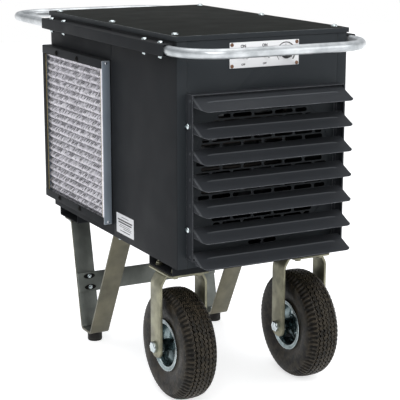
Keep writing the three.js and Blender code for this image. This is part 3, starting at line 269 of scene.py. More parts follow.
def rod(name, radius, start, end, sides=24):
    """A round bar between two points."""
    start, end = Vector(start), Vector(end)
    rest()
    bpy.ops.mesh.primitive_cylinder_add(
        vertices=sides, radius=radius, depth=(end - start).length,
        location=(start + end) / 2, rotation=(end - start).to_track_quat("Z", "Y").to_euler(),
    )
    fix_place()
    return named(bpy.context.object, name)


def outline(name, points, closed=False):
    """Edges drawn from point to point, as a pen would."""
    mesh = bpy.data.meshes.new(name)
    edges = [(i, i + 1) for i in range(len(points) - 1)]
    if closed:
        edges.append((len(points) - 1, 0))
    mesh.from_pydata([Vector(p) for p in points], edges, [])
    return show(bpy.data.objects.new(name, mesh))


def sweep(piece, way):
    """Extrude a drawn line along a straight way."""
    choose(piece, "edges")
    bpy.ops.mesh.extrude_region_move(TRANSFORM_OT_translate={"value": Vector(way)})
    turn_outwards()


def round_points(piece, points, width, segments):
    """Round the verts that lie at these points."""
    spots = [Vector(p) for p in points]
    round_off(piece, "verts", lambda v: any((v.co - p).length < 1e-6 for p in spots),
              width, segments)


def folded_strip(name, points, way, thickness, radius, edge=0.0003, corner=0):
    """A bent strip: points at the sheet's middle, way its width, corner rounds its ends."""
    piece = outline(name, points)
    round_points(piece, points[1:-1], radius, 5)
    sweep(piece, way)
    if corner:
        ends = [Vector(p) + Vector(way) * t for p in (points[0], points[-1]) for t in (0, 1)]
        round_points(piece, ends, corner, 8)
    thicken(piece, thickness, even=True)
    bevel(piece, edge, 2, 60)
    return piece


def turned(name, profile, centre, axis, sides=48):
    """Spin a drawn profile of (radius, along) millimetres round an axis through centre."""
    index = "xyz".index(axis)
    out = (index + 1) % 3
    points = []
    for radius, along in profile:
        point = Vector(centre)
        point[index] += along * MM
        point[out] += radius * MM
        points.append(point)
    piece = outline(name, points)
    direction = Vector((0, 0, 0))
    direction[index] = 1
    choose(piece, "verts")
    bpy.ops.mesh.spin(steps=sides, angle=2 * math.pi, center=centre, axis=direction)
    clean(piece)
    return piece


# %% [markdown]
# ## Floor and light
# A studio shot of black sheet metal needs a large, even, white surround: the paint and
# the bright tube show what they mirror. The world is that white tent, a little darker
# low down so that the tube has a shadow side. One large soft lamp stands to the left of
# the camera and a weaker one to the right. The white backdrop stands up to a low height
# all round, with a greyer tent above it, as a studio's sweep does, so that the cover
# doesn't mirror white and the tube shows light and dark bands.

# %% Floor
FLOOR_SIZE = 14
FLOOR_PAINT = (0.78, 0.78, 0.78, 1)
FLOOR_GLOW = 0.66


def new_material(name):
    """A material with only its Principled shader and its output."""
    material = bpy.data.materials.new(name)
    material.use_nodes = True
    return material, material.node_tree, material.node_tree.nodes["Principled BSDF"]


def math_node(tree, operation, *values):
    """A Math node; a value is a number or an output to link."""
    node = tree.nodes.new("ShaderNodeMath")
    node.operation = operation
    for socket, value in zip(node.inputs, values):
        if isinstance(value, (int, float)):
            socket.default_value = value
        else:
            tree.links.new(value, socket)
    return node.outputs[0]


def seen_by_camera(tree):
    """1 where the camera looks, straight or in a mirror or through glass."""
    path = tree.nodes.new("ShaderNodeLightPath")
    total = path.outputs["Is Camera Ray"]
    for output in ("Is Glossy Ray", "Is Transmission Ray"):
        total = math_node(tree, "MAXIMUM", total, path.outputs[output])
    return total


rest()
bpy.ops.mesh.primitive_plane_add(size=FLOOR_SIZE, location=(0, 0, 0))
floor = bpy.context.object
floor.name = "studio_floor"
floor_paint, tree, shader = new_material("floor_paint")
shader.inputs["Base Color"].default_value = FLOOR_PAINT
shader.inputs["Roughness"].default_value = 0.9
shader.inputs["Specular IOR Level"].default_value = 0.1
shader.inputs["Emission Color"].default_value = (1, 1, 1, 1)
glow = math_node(tree, "MULTIPLY", seen_by_camera(tree), FLOOR_GLOW)
tree.links.new(glow, shader.inputs["Emission Strength"])
floor.data.materials.append(floor_paint)
print("floor", FLOOR_SIZE, "m")

# %% World
world = bpy.data.worlds.new("white_tent")
bpy.context.scene.world = world
world.use_nodes = True
tree = world.node_tree
tree.nodes.clear()
coords = tree.nodes.new("ShaderNodeTexCoord")
split = tree.nodes.new("ShaderNodeSeparateXYZ")
tree.links.new(coords.outputs["Generated"], split.inputs[0])


def sky(stops, strength):
    """A background that changes with height; a stop is (sine of elevation, r, g, b)."""
    ramp = tree.nodes.new("ShaderNodeValToRGB")
    while len(ramp.color_ramp.elements) < len(stops):
        ramp.color_ramp.elements.new(0.5)
    for element, (rise, *colour) in zip(ramp.color_ramp.elements, stops):
        element.position = (rise + 1) / 2
        element.color = (*colour, 1)
    height = tree.nodes.new("ShaderNodeMapRange")
    height.inputs["From Min"].default_value = -1
    tree.links.new(split.outputs["Z"], height.inputs["Value"])
    tree.links.new(height.outputs[0], ramp.inputs[0])
    shade = tree.nodes.new("ShaderNodeBackground")
    tree.links.new(ramp.outputs[0], shade.inputs["Color"])
    shade.inputs["Strength"].default_value = strength
    return shade


tent = sky([(-0.3, 0.30, 0.31, 0.33), (0.7, 0.92, 0.94, 0.97)], 0.8)
backdrop = sky([(0.08, 1, 1, 1), (0.17, 0.26, 0.27, 0.28), (0.60, 0.42, 0.43, 0.45),
                (0.80, 1, 1, 1)], 1.0)
mixer = tree.nodes.new("ShaderNodeMixShader")
out = tree.nodes.new("ShaderNodeOutputWorld")
tree.links.new(seen_by_camera(tree), mixer.inputs[0])
tree.links.new(tent.outputs[0], mixer.inputs[1])
tree.links.new(backdrop.outputs[0], mixer.inputs[2])
tree.links.new(mixer.outputs[0], out.inputs["Surface"])
print("world strength", tent.inputs["Strength"].default_value)

# %% Lamps
LAMPS = {
    "key_lamp": {"place": (-1.4, -3.4, 2.9), "size": 2.2, "watts": 58},
    "fill_lamp": {"place": (2.4, -3.0, 1.7), "size": 2.0, "watts": 30},
    "top_lamp": {"place": (0.2, 0.4, 3.4), "size": 2.6, "watts": 26},
}
LIT_POINT = Vector((0, -0.1, 0.5))
for name, lamp in LAMPS.items():
    data = bpy.data.lights.new(name, "AREA")
    data.shape = "SQUARE"
    data.size = lamp["size"]
    data.energy = lamp["watts"]
    light = show(bpy.data.objects.new(name, data))
    light.location = lamp["place"]
    light.rotation_euler = (LIT_POINT - light.location).to_track_quat("-Z", "Y").to_euler()
bpy.context.scene.view_settings.view_transform = "Standard"
print("lamps:", ", ".join(LAMPS))

# %% [markdown]
# ## Effects that several finishes share
# No real surface is one flat colour. Four effects are built once, as node groups, and
# placed in each finish with its own values: a cloudy mottle, a fine grain for bump, an
# edge colour, and dust. The edge colour is partly scuffing; in most finishes it also paints
# a highlight along the edges, and on the bars and yokes it paints shade there. They read
# Object coordinates, so they stay put on a piece.

# %% Node group helper
FLOAT = "NodeSocketFloat"


def new_group(name, inputs, output):
    """An empty group with named inputs and one output, all of them numbers."""
    group = bpy.data.node_groups.new(name, "ShaderNodeTree")
    for label, value in inputs.items():
        socket = group.interface.new_socket(label, in_out="INPUT", socket_type=FLOAT)
        socket.default_value = value
    group.interface.new_socket(output, in_out="OUTPUT", socket_type=FLOAT)
    return group, group.nodes.new("NodeGroupInput"), group.nodes.new("NodeGroupOutput")


def noise_node(tree, scale, detail=3, stretch=None):
    """Noise on Object coordinates; stretch scales each axis."""
    coords = tree.nodes.new("ShaderNodeTexCoord").outputs["Object"]
    if stretch is not None:
        mapping = tree.nodes.new("ShaderNodeMapping")
        mapping.inputs["Scale"].default_value = stretch
        tree.links.new(coords, mapping.inputs["Vector"])
        coords = mapping.outputs[0]
    noise = tree.nodes.new("ShaderNodeTexNoise")
    noise.inputs["Detail"].default_value = detail
    tree.links.new(coords, noise.inputs["Vector"])
    if isinstance(scale, (int, float)):
        noise.inputs["Scale"].default_value = scale
    else:
        tree.links.new(scale, noise.inputs["Scale"])
    return noise.outputs["Fac"]


# %% Mottle: slow clouds from 0 to 1
mottle, into, out = new_group("mottle", {"Scale": 20, "Contrast": 2}, "Clouds")
clouds = noise_node(mottle, into.outputs["Scale"], 4)
centred = math_node(mottle, "SUBTRACT", clouds, 0.5)
contrasted = math_node(mottle, "MULTIPLY_ADD", centred, into.outputs["Contrast"], 0.5)
limited = mottle.nodes.new("ShaderNodeClamp")
mottle.links.new(contrasted, limited.inputs[0])
mottle.links.new(limited.outputs[0], out.inputs["Clouds"])

# %% Grain: a fine height for Bump, coarse peel and fine tooth together
grain, into, out = new_group("grain", {"Peel": 160, "Tooth": 900, "Share": 0.5}, "Height")
peel = noise_node(grain, into.outputs["Peel"], 2)
tooth = noise_node(grain, into.outputs["Tooth"], 2)
part = math_node(grain, "MULTIPLY", tooth, into.outputs["Share"])
total = math_node(grain, "ADD", peel, part)
grain.links.new(total, out.inputs["Height"])

# %% Edge colour, partly scuffing and partly painted edge light and shade: where the rounded normal leaves the true one, broken up by noise
edge_wear_and_light, into, out = new_group("edge_wear_and_light", {"Reach": 0.0012, "Amount": 1}, "WearAndLight")
rounded = edge_wear_and_light.nodes.new("ShaderNodeBevel")
rounded.samples = 4
edge_wear_and_light.links.new(into.outputs["Reach"], rounded.inputs["Radius"])
true_normal = edge_wear_and_light.nodes.new("ShaderNodeNewGeometry")
likeness = edge_wear_and_light.nodes.new("ShaderNodeVectorMath")
likeness.operation = "DOT_PRODUCT"
edge_wear_and_light.links.new(rounded.outputs[0], likeness.inputs[0])
edge_wear_and_light.links.new(true_normal.outputs["Normal"], likeness.inputs[1])
turned_away = math_node(edge_wear_and_light, "SUBTRACT", 1.0, likeness.outputs["Value"])
patchy = math_node(edge_wear_and_light, "POWER", noise_node(edge_wear_and_light, 45, 5), 1.5)
sharpness = math_node(edge_wear_and_light, "MULTIPLY", turned_away, 5)
wear_and_edge_light = math_node(edge_wear_and_light, "MULTIPLY", sharpness, patchy)
scaled = math_node(edge_wear_and_light, "MULTIPLY", wear_and_edge_light, into.outputs["Amount"])
limited = edge_wear_and_light.nodes.new("ShaderNodeClamp")
edge_wear_and_light.links.new(scaled, limited.inputs[0])
edge_wear_and_light.links.new(limited.outputs[0], out.inputs["WearAndLight"])

# %% Dust: settles where a face looks up
dust, into, out = new_group("dust", {"Scale": 9, "Amount": 0.3}, "Dust")
facing = dust.nodes.new("ShaderNodeNewGeometry")
split = dust.nodes.new("ShaderNodeSeparateXYZ")
dust.links.new(facing.outputs["Normal"], split.inputs[0])
upward = math_node(dust, "MAXIMUM", split.outputs["Z"], 0.0)
drift = math_node(dust, "MULTIPLY", upward, noise_node(dust, into.outputs["Scale"], 6))
dust.links.new(math_node(dust, "MULTIPLY", drift, into.outputs["Amount"]), out.inputs["Dust"])
print("groups:", ", ".join(g.name for g in bpy.data.node_groups))

# %% [markdown]
# ## A finish from a recipe
# Most finishes here are two colours that a mottle blends, a roughness that drifts a
# little, a grain in the bump, and an edge colour that is partly scuffing and partly
# painted edge light and shade. The recipe below places the groups and links them. What is
# the same all over, such as Coat or Specular, is set on the shader.

# %% Finish recipe
FINISHES = {}
DUST_COLOUR = (0.30, 0.29, 0.26)


def place(tree, group, **values):
    """Put a group into a material with its own values."""
    node = tree.nodes.new("ShaderNodeGroup")
    node.node_tree = group
    for label, value in values.items():
        node.inputs[label].default_value = value
    return node.outputs[0]


def blend_colours(tree, factor, first, second):
    """Mix two colours; each is an (r, g, b) or an output."""
    mix = tree.nodes.new("ShaderNodeMix")
    mix.data_type = "RGBA"
    tree.links.new(factor, mix.inputs["Factor"])
    for socket, value in ((mix.inputs[6], first), (mix.inputs[7], second)):
        if isinstance(value, tuple):
            socket.default_value = (*value, 1)
        else:
            tree.links.new(value, socket)
    return mix.outputs[2]


def make_finish(name, base, second, rough, metal=0.0, clouds=(30, 2), bump=(200, 900, 0.3),
                depth=0.00003, wear_and_edge_light=None, wear_and_light_amount=0.6, reach=0.0012, dusty=0.0, specular=0.5,
                streaks=None):
    """Material from a recipe; clouds is (scale, contrast), bump (peel, tooth, share)."""
    material, tree, shader = new_material(name)
    cloud = place(tree, mottle, Scale=clouds[0], Contrast=clouds[1])
    colour = blend_colours(tree, cloud, base, second)
    if dusty:
        settled = place(tree, dust, Amount=dusty)
        colour = blend_colours(tree, settled, colour, DUST_COLOUR)
    # Edge colour: partly scuffing, and partly painted edge light and shade that each finish
    # sets.
    if wear_and_edge_light:
        edge_wear_and_light_mask = place(tree, edge_wear_and_light, Amount=wear_and_light_amount, Reach=reach)
        colour = blend_colours(tree, edge_wear_and_light_mask, colour, wear_and_edge_light)
    tree.links.new(colour, shader.inputs["Base Color"])
    drift = place(tree, mottle, Scale=clouds[0] * 3.1, Contrast=2.5)
    gloss = tree.nodes.new("ShaderNodeMapRange")
    gloss.inputs["To Min"].default_value, gloss.inputs["To Max"].default_value = rough
    tree.links.new(drift, gloss.inputs["Value"])
    tree.links.new(gloss.outputs[0], shader.inputs["Roughness"])
    height = place(tree, grain, Peel=bump[0], Tooth=bump[1], Share=bump[2])
    if streaks:
        height = math_node(tree, "ADD", height, noise_node(tree, 1, 3, streaks))
    bumped = tree.nodes.new("ShaderNodeBump")
    bumped.inputs["Distance"].default_value = depth
    tree.links.new(height, bumped.inputs["Height"])
    tree.links.new(bumped.outputs[0], shader.inputs["Normal"])
    shader.inputs["Metallic"].default_value = metal
    shader.inputs["Specular IOR Level"].default_value = specular
    FINISHES[name] = material


# %% [markdown]
# ## The heater's finishes
# - The cabinet is powder coated: nearly black with a blue cast, satin, with the fine
#   orange peel that baked powder has.
# - Tube handles are zinc-plated and bright. The yokes have a duller, olive passivation.
#   The legs are bare flat bar with mill marks. The rims and bolts are bright zinc.
# - Tyres are dusty black rubber, and the filter is aluminium, frame and mesh.

# %% Cabinet paint, with lighter and darker copies that paint light and shade
PEEL = (420, 1500, 0.5)
# The sides' powder coat. Its light edges are partly scuffing and partly a painted highlight
# that stands in for the gloss its low specular leaves out.
make_finish("black_paint", (0.0205, 0.0220, 0.0240), (0.0245, 0.0262, 0.0286), (0.52, 0.62),
            clouds=(5, 1.6), bump=PEEL, wear_and_edge_light=(0.12, 0.125, 0.13), wear_and_light_amount=0.5, dusty=0.04,
            specular=0.05)
# A darker copy of the same paint for the cover's top: painted shade that offsets the bright
# backdrop its top mirrors. Its strong light edges are a painted highlight along the cover's
# folds, partly scuffing.
make_finish("cover_paint_shaded", (0.0128, 0.0140, 0.0126), (0.0155, 0.0168, 0.0152), (0.70, 0.82),
            clouds=(5, 1.6), bump=PEEL, wear_and_edge_light=(0.30, 0.32, 0.33), wear_and_light_amount=3.0, reach=0.0026,
            dusty=0.012, specular=0.05)
# A lighter copy of the same paint for the blades and the louvre frame: painted light that
# offsets the shade the blades cast on each other. Their light edges are a painted highlight.
make_finish("blade_paint_lit", (0.0295, 0.0320, 0.0362), (0.0350, 0.0380, 0.0425), (0.46, 0.56),
            clouds=(7, 1.6), bump=PEEL, wear_and_edge_light=(0.30, 0.31, 0.33), wear_and_light_amount=1.6, reach=0.0016,
            dusty=0.01, specular=0.10)
# A lighter copy of the same paint for the faces that look forward and for the guard: painted
# light.
make_finish("front_paint_lit", (0.0262, 0.0304, 0.0340), (0.0302, 0.0345, 0.0382), (0.46, 0.56),
            clouds=(7, 1.6), bump=PEEL, wear_and_edge_light=(0.15, 0.15, 0.145), wear_and_light_amount=0.8, specular=0.10)

# %% Bare and plated metals
# On the bars the edges are darkened: painted shade along the edges.
BAR = {"metal": 0.8, "clouds": (18, 3.4), "bump": (110, 900, 0.4), "depth": 0.0001,
       "wear_and_light_amount": 2.2, "reach": 0.0024, "streaks": (220, 220, 8)}
make_finish("bright_tube", (0.68, 0.705, 0.72), (0.40, 0.425, 0.44), (0.30, 0.38), metal=0.64,
            clouds=(26, 3.2), bump=(60, 500, 0.15), depth=0.00002)
make_finish("toggle_steel", (0.72, 0.73, 0.74), (0.62, 0.63, 0.64), (0.12, 0.22), metal=1.0,
            clouds=(60, 1.5), depth=0.00001)
# The yokes' dark edges are painted shade along the edges.
make_finish("zinc_plate", (0.325, 0.315, 0.220), (0.185, 0.179, 0.124), (0.38, 0.52),
            metal=0.60, clouds=(30, 4.2), bump=(130, 800, 0.4), depth=0.00012,
            wear_and_edge_light=(0.07, 0.068, 0.05), wear_and_light_amount=2.6, reach=0.0024)
make_finish("bar_steel", (0.160, 0.150, 0.106), (0.114, 0.109, 0.080), (0.36, 0.55),
            wear_and_edge_light=(0.03, 0.03, 0.025), **BAR)
# A bluer copy of the bar's finish for the faces that look into the V and for the cross bar:
# painted shade tone.
make_finish("bar_steel_shade_side", (0.176, 0.188, 0.172), (0.128, 0.138, 0.126), (0.36, 0.55),
            wear_and_edge_light=(0.03, 0.03, 0.03), **BAR)
make_finish("black_oxide", (0.004, 0.004, 0.004), (0.008, 0.007, 0.006), (0.5, 0.65),
            clouds=(60, 2), bump=(200, 900, 0.4), depth=0.00005, specular=0.08)
# The rims' bright edges are a painted highlight.
make_finish("rim_zinc", (0.27, 0.33, 0.34), (0.11, 0.145, 0.15), (0.14, 0.28), metal=1.0,
            clouds=(34, 3.6), bump=(90, 700, 0.3), depth=0.0002,
            wear_and_edge_light=(0.85, 0.9, 0.92), wear_and_light_amount=1.6, reach=0.003)
make_finish("bright_zinc", (0.62, 0.68, 0.70), (0.48, 0.54, 0.55), (0.12, 0.26), metal=1.0,
            clouds=(40, 2.2), bump=(140, 800, 0.3), depth=0.00005)
# All the zinc-coated parts sit inside the cabinet, and their zinc is darkened: painted shade,
# so that the inside looks dark through the slots.
make_finish("galvanised", (0.26, 0.27, 0.28), (0.19, 0.20, 0.21), (0.34, 0.48), metal=0.8,
            clouds=(60, 4.0), bump=(120, 700, 0.3))
# The frame's light edges are a painted highlight.
make_finish("filter_frame", (0.255, 0.298, 0.345), (0.212, 0.250, 0.295), (0.38, 0.50),
            metal=0.45, clouds=(9, 1.6), depth=0.00002, streaks=(500, 500, 6),
            wear_and_edge_light=(0.62, 0.66, 0.68), wear_and_light_amount=1.8, reach=0.0020)
make_finish("filter_mesh", (0.92, 0.90, 0.93), (0.76, 0.74, 0.79), (0.25, 0.42), metal=0.5,
            clouds=(90, 3.0), bump=(300, 900, 0.3))
make_finish("seal_resin", (0.36, 0.29, 0.13), (0.28, 0.23, 0.11), (0.4, 0.55), clouds=(60, 2))
make_finish("element_steel", (0.050, 0.042, 0.036), (0.030, 0.028, 0.028), (0.40, 0.58),
            metal=0.6, clouds=(30, 2.5), bump=(200, 900, 0.4), depth=0.00004)
make_finish("red_brass", (0.26, 0.14, 0.09), (0.15, 0.09, 0.06), (0.25, 0.4), metal=1.0,
            clouds=(80, 2), depth=0.00002)

# %% Plate, plastics and rubber
make_finish("control_plate", (0.86, 0.86, 0.865), (0.80, 0.80, 0.805), (0.34, 0.46),
            metal=0.06, clouds=(14, 1.5), bump=(200, 900, 0.2), depth=0.00002,
            streaks=(8, 400, 700))
make_finish("black_plastic", (0.012, 0.012, 0.013), (0.018, 0.018, 0.019), (0.35, 0.50),
            clouds=(30, 1.5), bump=(300, 1200, 0.5))
make_finish("motor_paint", (0.032, 0.036, 0.042), (0.045, 0.05, 0.056), (0.35, 0.5),
            clouds=(12, 2), bump=(220, 900, 0.4), depth=0.00006)
# The tread's light edges are a painted highlight, partly scuffing, and the strong light clouds
# are partly the rubber's tone and partly painted sheen.
make_finish("tyre_rubber", (0.0036, 0.0031, 0.0022), (0.030, 0.0236, 0.0150), (0.34, 0.54),
            clouds=(58, 4.8), bump=(260, 1100, 0.6), depth=0.0004,
            wear_and_edge_light=(0.30, 0.255, 0.190), wear_and_light_amount=2.6, reach=0.0009, dusty=0.015, specular=0.20)
make_finish("foot_rubber", (0.010, 0.0095, 0.0085), (0.018, 0.017, 0.015), (0.6, 0.78),
            bump=(260, 1000, 0.5), depth=0.00010, specular=0.3)
make_finish("label_white", (0.90, 0.90, 0.91), (0.84, 0.84, 0.85), (0.35, 0.5),
            clouds=(30, 1.4), bump=(300, 900, 0.3), depth=0.00001)
make_finish("ink", (0.02, 0.02, 0.022), (0.035, 0.035, 0.037), (0.5, 0.6),
            clouds=(200, 1.5), bump=(300, 900, 0.3), depth=0.00001)
print("finishes:", ", ".join(FINISHES))

# %% [markdown]
# ## Colour that follows a piece's own attribute
# Some marks belong to one part of a shape, not to a pattern: painted shade in the pits
# of the filter's mesh and in the grooves of a tread, and a painted highlight on the bead
# of a blade. The mesh carries a number there, and the finish blends towards another
# colour by that number.

# %% Attribute colours
def tint_where(finish, attribute, colour, matt=False):
    """Blend a finish towards a colour by a mesh attribute, and roughen it there if matt."""
    tree = FINISHES[finish].node_tree
    amount = tree.nodes.new("ShaderNodeAttribute")
    amount.attribute_name = attribute
    base = tree.nodes["Principled BSDF"].inputs["Base Color"]
    tinted = blend_colours(tree, amount.outputs["Fac"], base.links[0].from_socket, colour)
    tree.links.new(tinted, base)
    if matt:
        rough = tree.nodes["Principled BSDF"].inputs["Roughness"]
        duller = math_node(tree, "MAXIMUM", rough.links[0].from_socket, amount.outputs["Fac"])
        tree.links.new(duller, rough)


# Painted shade in the pits of the filter's mesh.
tint_where("filter_mesh", "pit_shade", (0.014, 0.014, 0.020), matt=True)
# Painted shade in the tread's grooves, sipes and lug gaps.
tint_where("tyre_rubber", "groove", (0.0008, 0.0007, 0.0006), matt=True)
# Painted highlight on the blades' bead crest and curl.
tint_where("blade_paint_lit", "painted_highlight", (0.072, 0.077, 0.083))
print("finishes that read an attribute: 3")

# %% [markdown]
# ## Dressing a piece
# Every finished piece gets a finish, rides on the body it belongs to, and stands for the CAD
# nodes it was made over.

# %% Dress
BOX = {name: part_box(name) for name in frame["nodes"]}
BODY_OF = {name: node["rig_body"] for name, node in frame["nodes"].items()}


def dress(piece, finish, body, *stands_for, smooth=35):
    """Settle a finished piece, unless smooth is None, and give it a finish and a body."""
    if smooth is not None:
        settle(piece, smooth)
    piece.data.materials.clear()
    piece.data.materials.append(FINISHES[finish])
    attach(piece, body)
    if stands_for:
        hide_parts(*stands_for)


def softened(node, name, finish, width=0.0004, segments=2, shape=None):
    """A copy of a CAD node, merged, with its sharp edges rounded."""
    piece = show(bpy.data.objects.new(name, frame["nodes"][node].data.copy()))
    piece.data.name = name
    piece.data.materials.clear()
    choose(piece, "verts")
    bpy.ops.mesh.remove_doubles(threshold=2e-6)
    bpy.ops.mesh.select_all(action="SELECT")
    bpy.ops.mesh.dissolve_limited(angle_limit=math.radians(0.5))
    rest()
    if shape:
        shape(piece)
    bevel(piece, width, segments, 35)
    dress(piece, finish, BODY_OF[node], node)


print("boxes of", len(BOX), "nodes kept")

# %% [markdown]
# ## The folded cabinet
# The side panels are single sheets whose front edge is folded round the corner. A press
# brake leaves a small radius there, so each one is drawn as a line seen from above,
# its corner rounded, swept upwards, and given the sheet's thickness. The folded part
# that looks forward takes the front's lighter copy of the paint, which is painted light.

# %% Places in millimetres
CASING_Y = -89.5


def at(x, y, z):
    """A place in millimetres, with y from the middle of the cabinet."""
    return Vector((x, y + CASING_Y, z)) * MM


SHEET = 1.5
HALF_W, HALF_D = 216, 361
UNDERSIDE, PANEL_TOP, LID_TOP = 336, 846.5, 848.3
SEAM_Y = -25
RETURN = 25
panel_rise = (0, 0, (PANEL_TOP - UNDERSIDE) * MM)
print("cabinet", 2 * HALF_W, "x", 2 * HALF_D, "mm")

# %% A second finish on some faces
def paint_faces(piece, finish, test):
    """Give the faces that pass the test a second finish."""
    piece.data.materials.append(FINISHES[finish])
    choose(piece, "faces", test)
    piece.active_material_index = 1
    bpy.ops.object.material_slot_assign()
    rest()


# %% Side panels, folded onto the front
for (side, word), rear in zip(SIDES, (SEAM_Y, HALF_D)):
    x, y = side * (HALF_W - SHEET / 2), SHEET / 2 - HALF_D
    bends = ((x, rear), (x, y), (side * (HALF_W - RETURN), y))
    panel = folded_strip(f"{word}_side_sheet", [at(x, y, UNDERSIDE) for x, y in bends],
                         panel_rise, SHEET * MM, 0.0016)
    dress(panel, "black_paint", "cabinet", f"{word}_side_panel")
    # Faces that look forward take the lighter copy of the paint: painted light.
    paint_faces(panel, "front_paint_lit", lambda face: face.normal.y < -0.9)
print("side panels folded")

# %% [markdown]
# ## Top cover
# The cover is a shallow pan turned upside down. A block loses its bottom face, its top
# edges get the fold's radius, its corners a smaller one, and Solidify gives the sheet
# inwards.

# %% Top cover
cover = block("top_cover_sheet", *BOX["top_cover"])
choose(cover, "faces", lambda face: face.normal.z < -0.5)
bpy.ops.mesh.delete(type="FACE")
cover_top = BOX["top_cover"][1].z - 1e-4
round_off(cover, "edges", lambda edge: min(v.co.z for v in edge.verts) > cover_top, 0.0020, 4)
round_off(cover, "edges", lambda edge: runs(edge, 2), 0.0012, 3)
thicken(cover, SHEET * MM, -1)
bevel(cover, 0.0003, 2, 60)
dress(cover, "cover_paint_shaded", "cabinet", "top_cover")
# The skirt takes the lighter copy of the paint and the top keeps the darker one: painted light
# and painted shade by facing.
paint_faces(cover, "front_paint_lit", lambda face: abs(face.normal.z) < 0.5)
print("cover", [round(v, 4) for v in cover.dimensions])

# %% [markdown]
# ## Flat panels and the inside
# The other sheets keep the CAD model's shape. A copy is merged, its flat faces become
# whole faces again, and every edge gets the small round that a deburred sheet has.

# %% Softened sheets
for finish, nodes in (("black_paint", ("left_intake_panel", "rear_panel", "base_pan")),
                      ("front_paint_lit", ("front_panel",)),
                      ("galvanised", ("fan_shroud", "element_plate", "control_shelf"))):
    for node in nodes:
        softened(node, f"{node}_sheet", finish)
print("flat sheets softened")

# %% [markdown]
# ## The louvre
# Seven blades turn on pins in a box frame. One blade is modelled flat, back edge at
# the pivot, then copied down the frame and tipped. Its stiffening bead is pressed into
# the sheet and fades out before the ends, so the raised rows are pushed flat there. At
# both ends the sheet curls down into an ear, which carries the pin. The lowest blade's
# ears are notched, to clear the floor of the frame. The bead's crest and the curl carry
# a painted highlight on their faces that look up, and a face attribute says where.

# %% Louvre sizes
PIVOT = (-379, 711)
BLADE_PITCH = 57.2
BLADE_SLOPE = 26
BLADE_HALF = 190.9
BLADE_SHEET = 1.2
BLADE_BACK, BLADE_RISE = 4.6, 10.5
EAR_INSET = 0.75
BEAD = [(-4, 0), (16.4, 0), (18.2, 1.5), (20.2, 2.4), (22.0, 1.5), (23.8, 0), (55.9, 0)]
BEAD_END = BLADE_HALF - 26
CURL = 3.4
CURL_START = BLADE_HALF - EAR_INSET - CURL
CURL_FADE = 0.020


def on_blade(x, along, above):
    """A place on the blade before it is tipped, in metres."""
    return Vector((x, -(BLADE_BACK + along), BLADE_RISE + above)) * MM


# %% Blade sheet with its bead
blade = outline("blade_sheet", [on_blade(-BLADE_HALF, s, n) for s, n in BEAD])
sweep(blade, (2 * BLADE_HALF * MM, 0, 0))
front = on_blade(0, BEAD[-1][0], 0).y
round_off(blade, "verts", lambda v: v.co.y < front + 1e-5, 0.014, 6)
choose(blade, "faces")
bpy.ops.mesh.bisect(plane_co=(0, front + CURL_FADE, 0), plane_no=(0, 1, 0))
for reach in (BEAD_END - 14, BEAD_END, CURL_START, CURL_START + 1.7, CURL_START + 2.9):
    for side in (-1, 1):
        choose(blade, "faces")
        bpy.ops.mesh.bisect(plane_co=(side * reach * MM, 0, 0), plane_no=(1, 0, 0))
for s, n in BEAD[2:5]:
    row = on_blade(0, s, n)
    choose(blade, "verts", lambda v: abs(v.co.x) > (BEAD_END - 0.5) * MM
           and abs(v.co.y - row.y) < 1e-5 and v.co.z > on_blade(0, 0, 0.1).z)
    bpy.ops.transform.translate(value=(0, 0, -n * MM))
rest()
for vert in blade.data.vertices:
    over = min(abs(vert.co.x) / MM - CURL_START, CURL)
    if over > 0:
        fade = min(1, (vert.co.y - front) / CURL_FADE)
        vert.co.x = math.copysign(CURL_START + over, vert.co.x) * MM
        vert.co.z -= fade * (CURL - math.sqrt(CURL ** 2 - over ** 2)) * MM
thicken(blade, BLADE_SHEET * MM)
bevel(blade, 0.0004, 2, 60)
# Painted highlight: the faces of the bead's crest and of the curls that look up are marked for
# a lighter colour.
painted_highlight = blade.data.attributes.new("painted_highlight", "FLOAT", "FACE")
for face in blade.data.polygons:
    along = -face.center.y / MM - BLADE_BACK
    on_bead = 17.6 < along < 22.6 and abs(face.center.x) < (BEAD_END - 2) * MM
    on_curl = 0.25 < face.normal.z < 0.9 and abs(face.center.x) > CURL_START * MM
    painted_highlight.data[face.index].value = 1.0 if face.normal.z > 0.2 and (on_bead or on_curl) else 0.0
print("blade sheet", len(blade.data.polygons), "faces")

# %% Ears and pins
EAR = [(-4, -2.8), (-9.6, -6.5), (-9.6, -14.3), (0, -17), (12, -16), (43, -2.6), (41, -1.8),
       (36, -2.8)]
EAR_NOTCHED = [(-4, -2.8), (-9.6, -6.5), (-9.6, -14.3), (-0.8, -15.3), (9, -3.8), (21.4, -13.2),
               (43, -2.6), (41, -1.8), (36, -2.8)]
PIN_END = 192.7


def ear_and_pin(side, points):
    """The ear at one end of a blade, with its pin."""
    x = side * (BLADE_HALF - EAR_INSET)
    ear = outline("blade_ear", [on_blade(x, s, n) for s, n in points], closed=True)
    round_off(ear, "verts", lambda v: v.co.z < on_blade(0, 0, -6).z, 0.0025, 3)
    choose(ear, "verts")
    bpy.ops.mesh.edge_face_add()
    rest()
    thicken(ear, SHEET * MM)
    bevel(ear, 0.0002, 1, 60)
    pin = rod("blade_pin", 0.0025, (x * MM, 0, 0), (side * PIN_END * MM, 0, 0), 16)
    bevel(pin, 0.0004, 2)
    return [ear, pin]


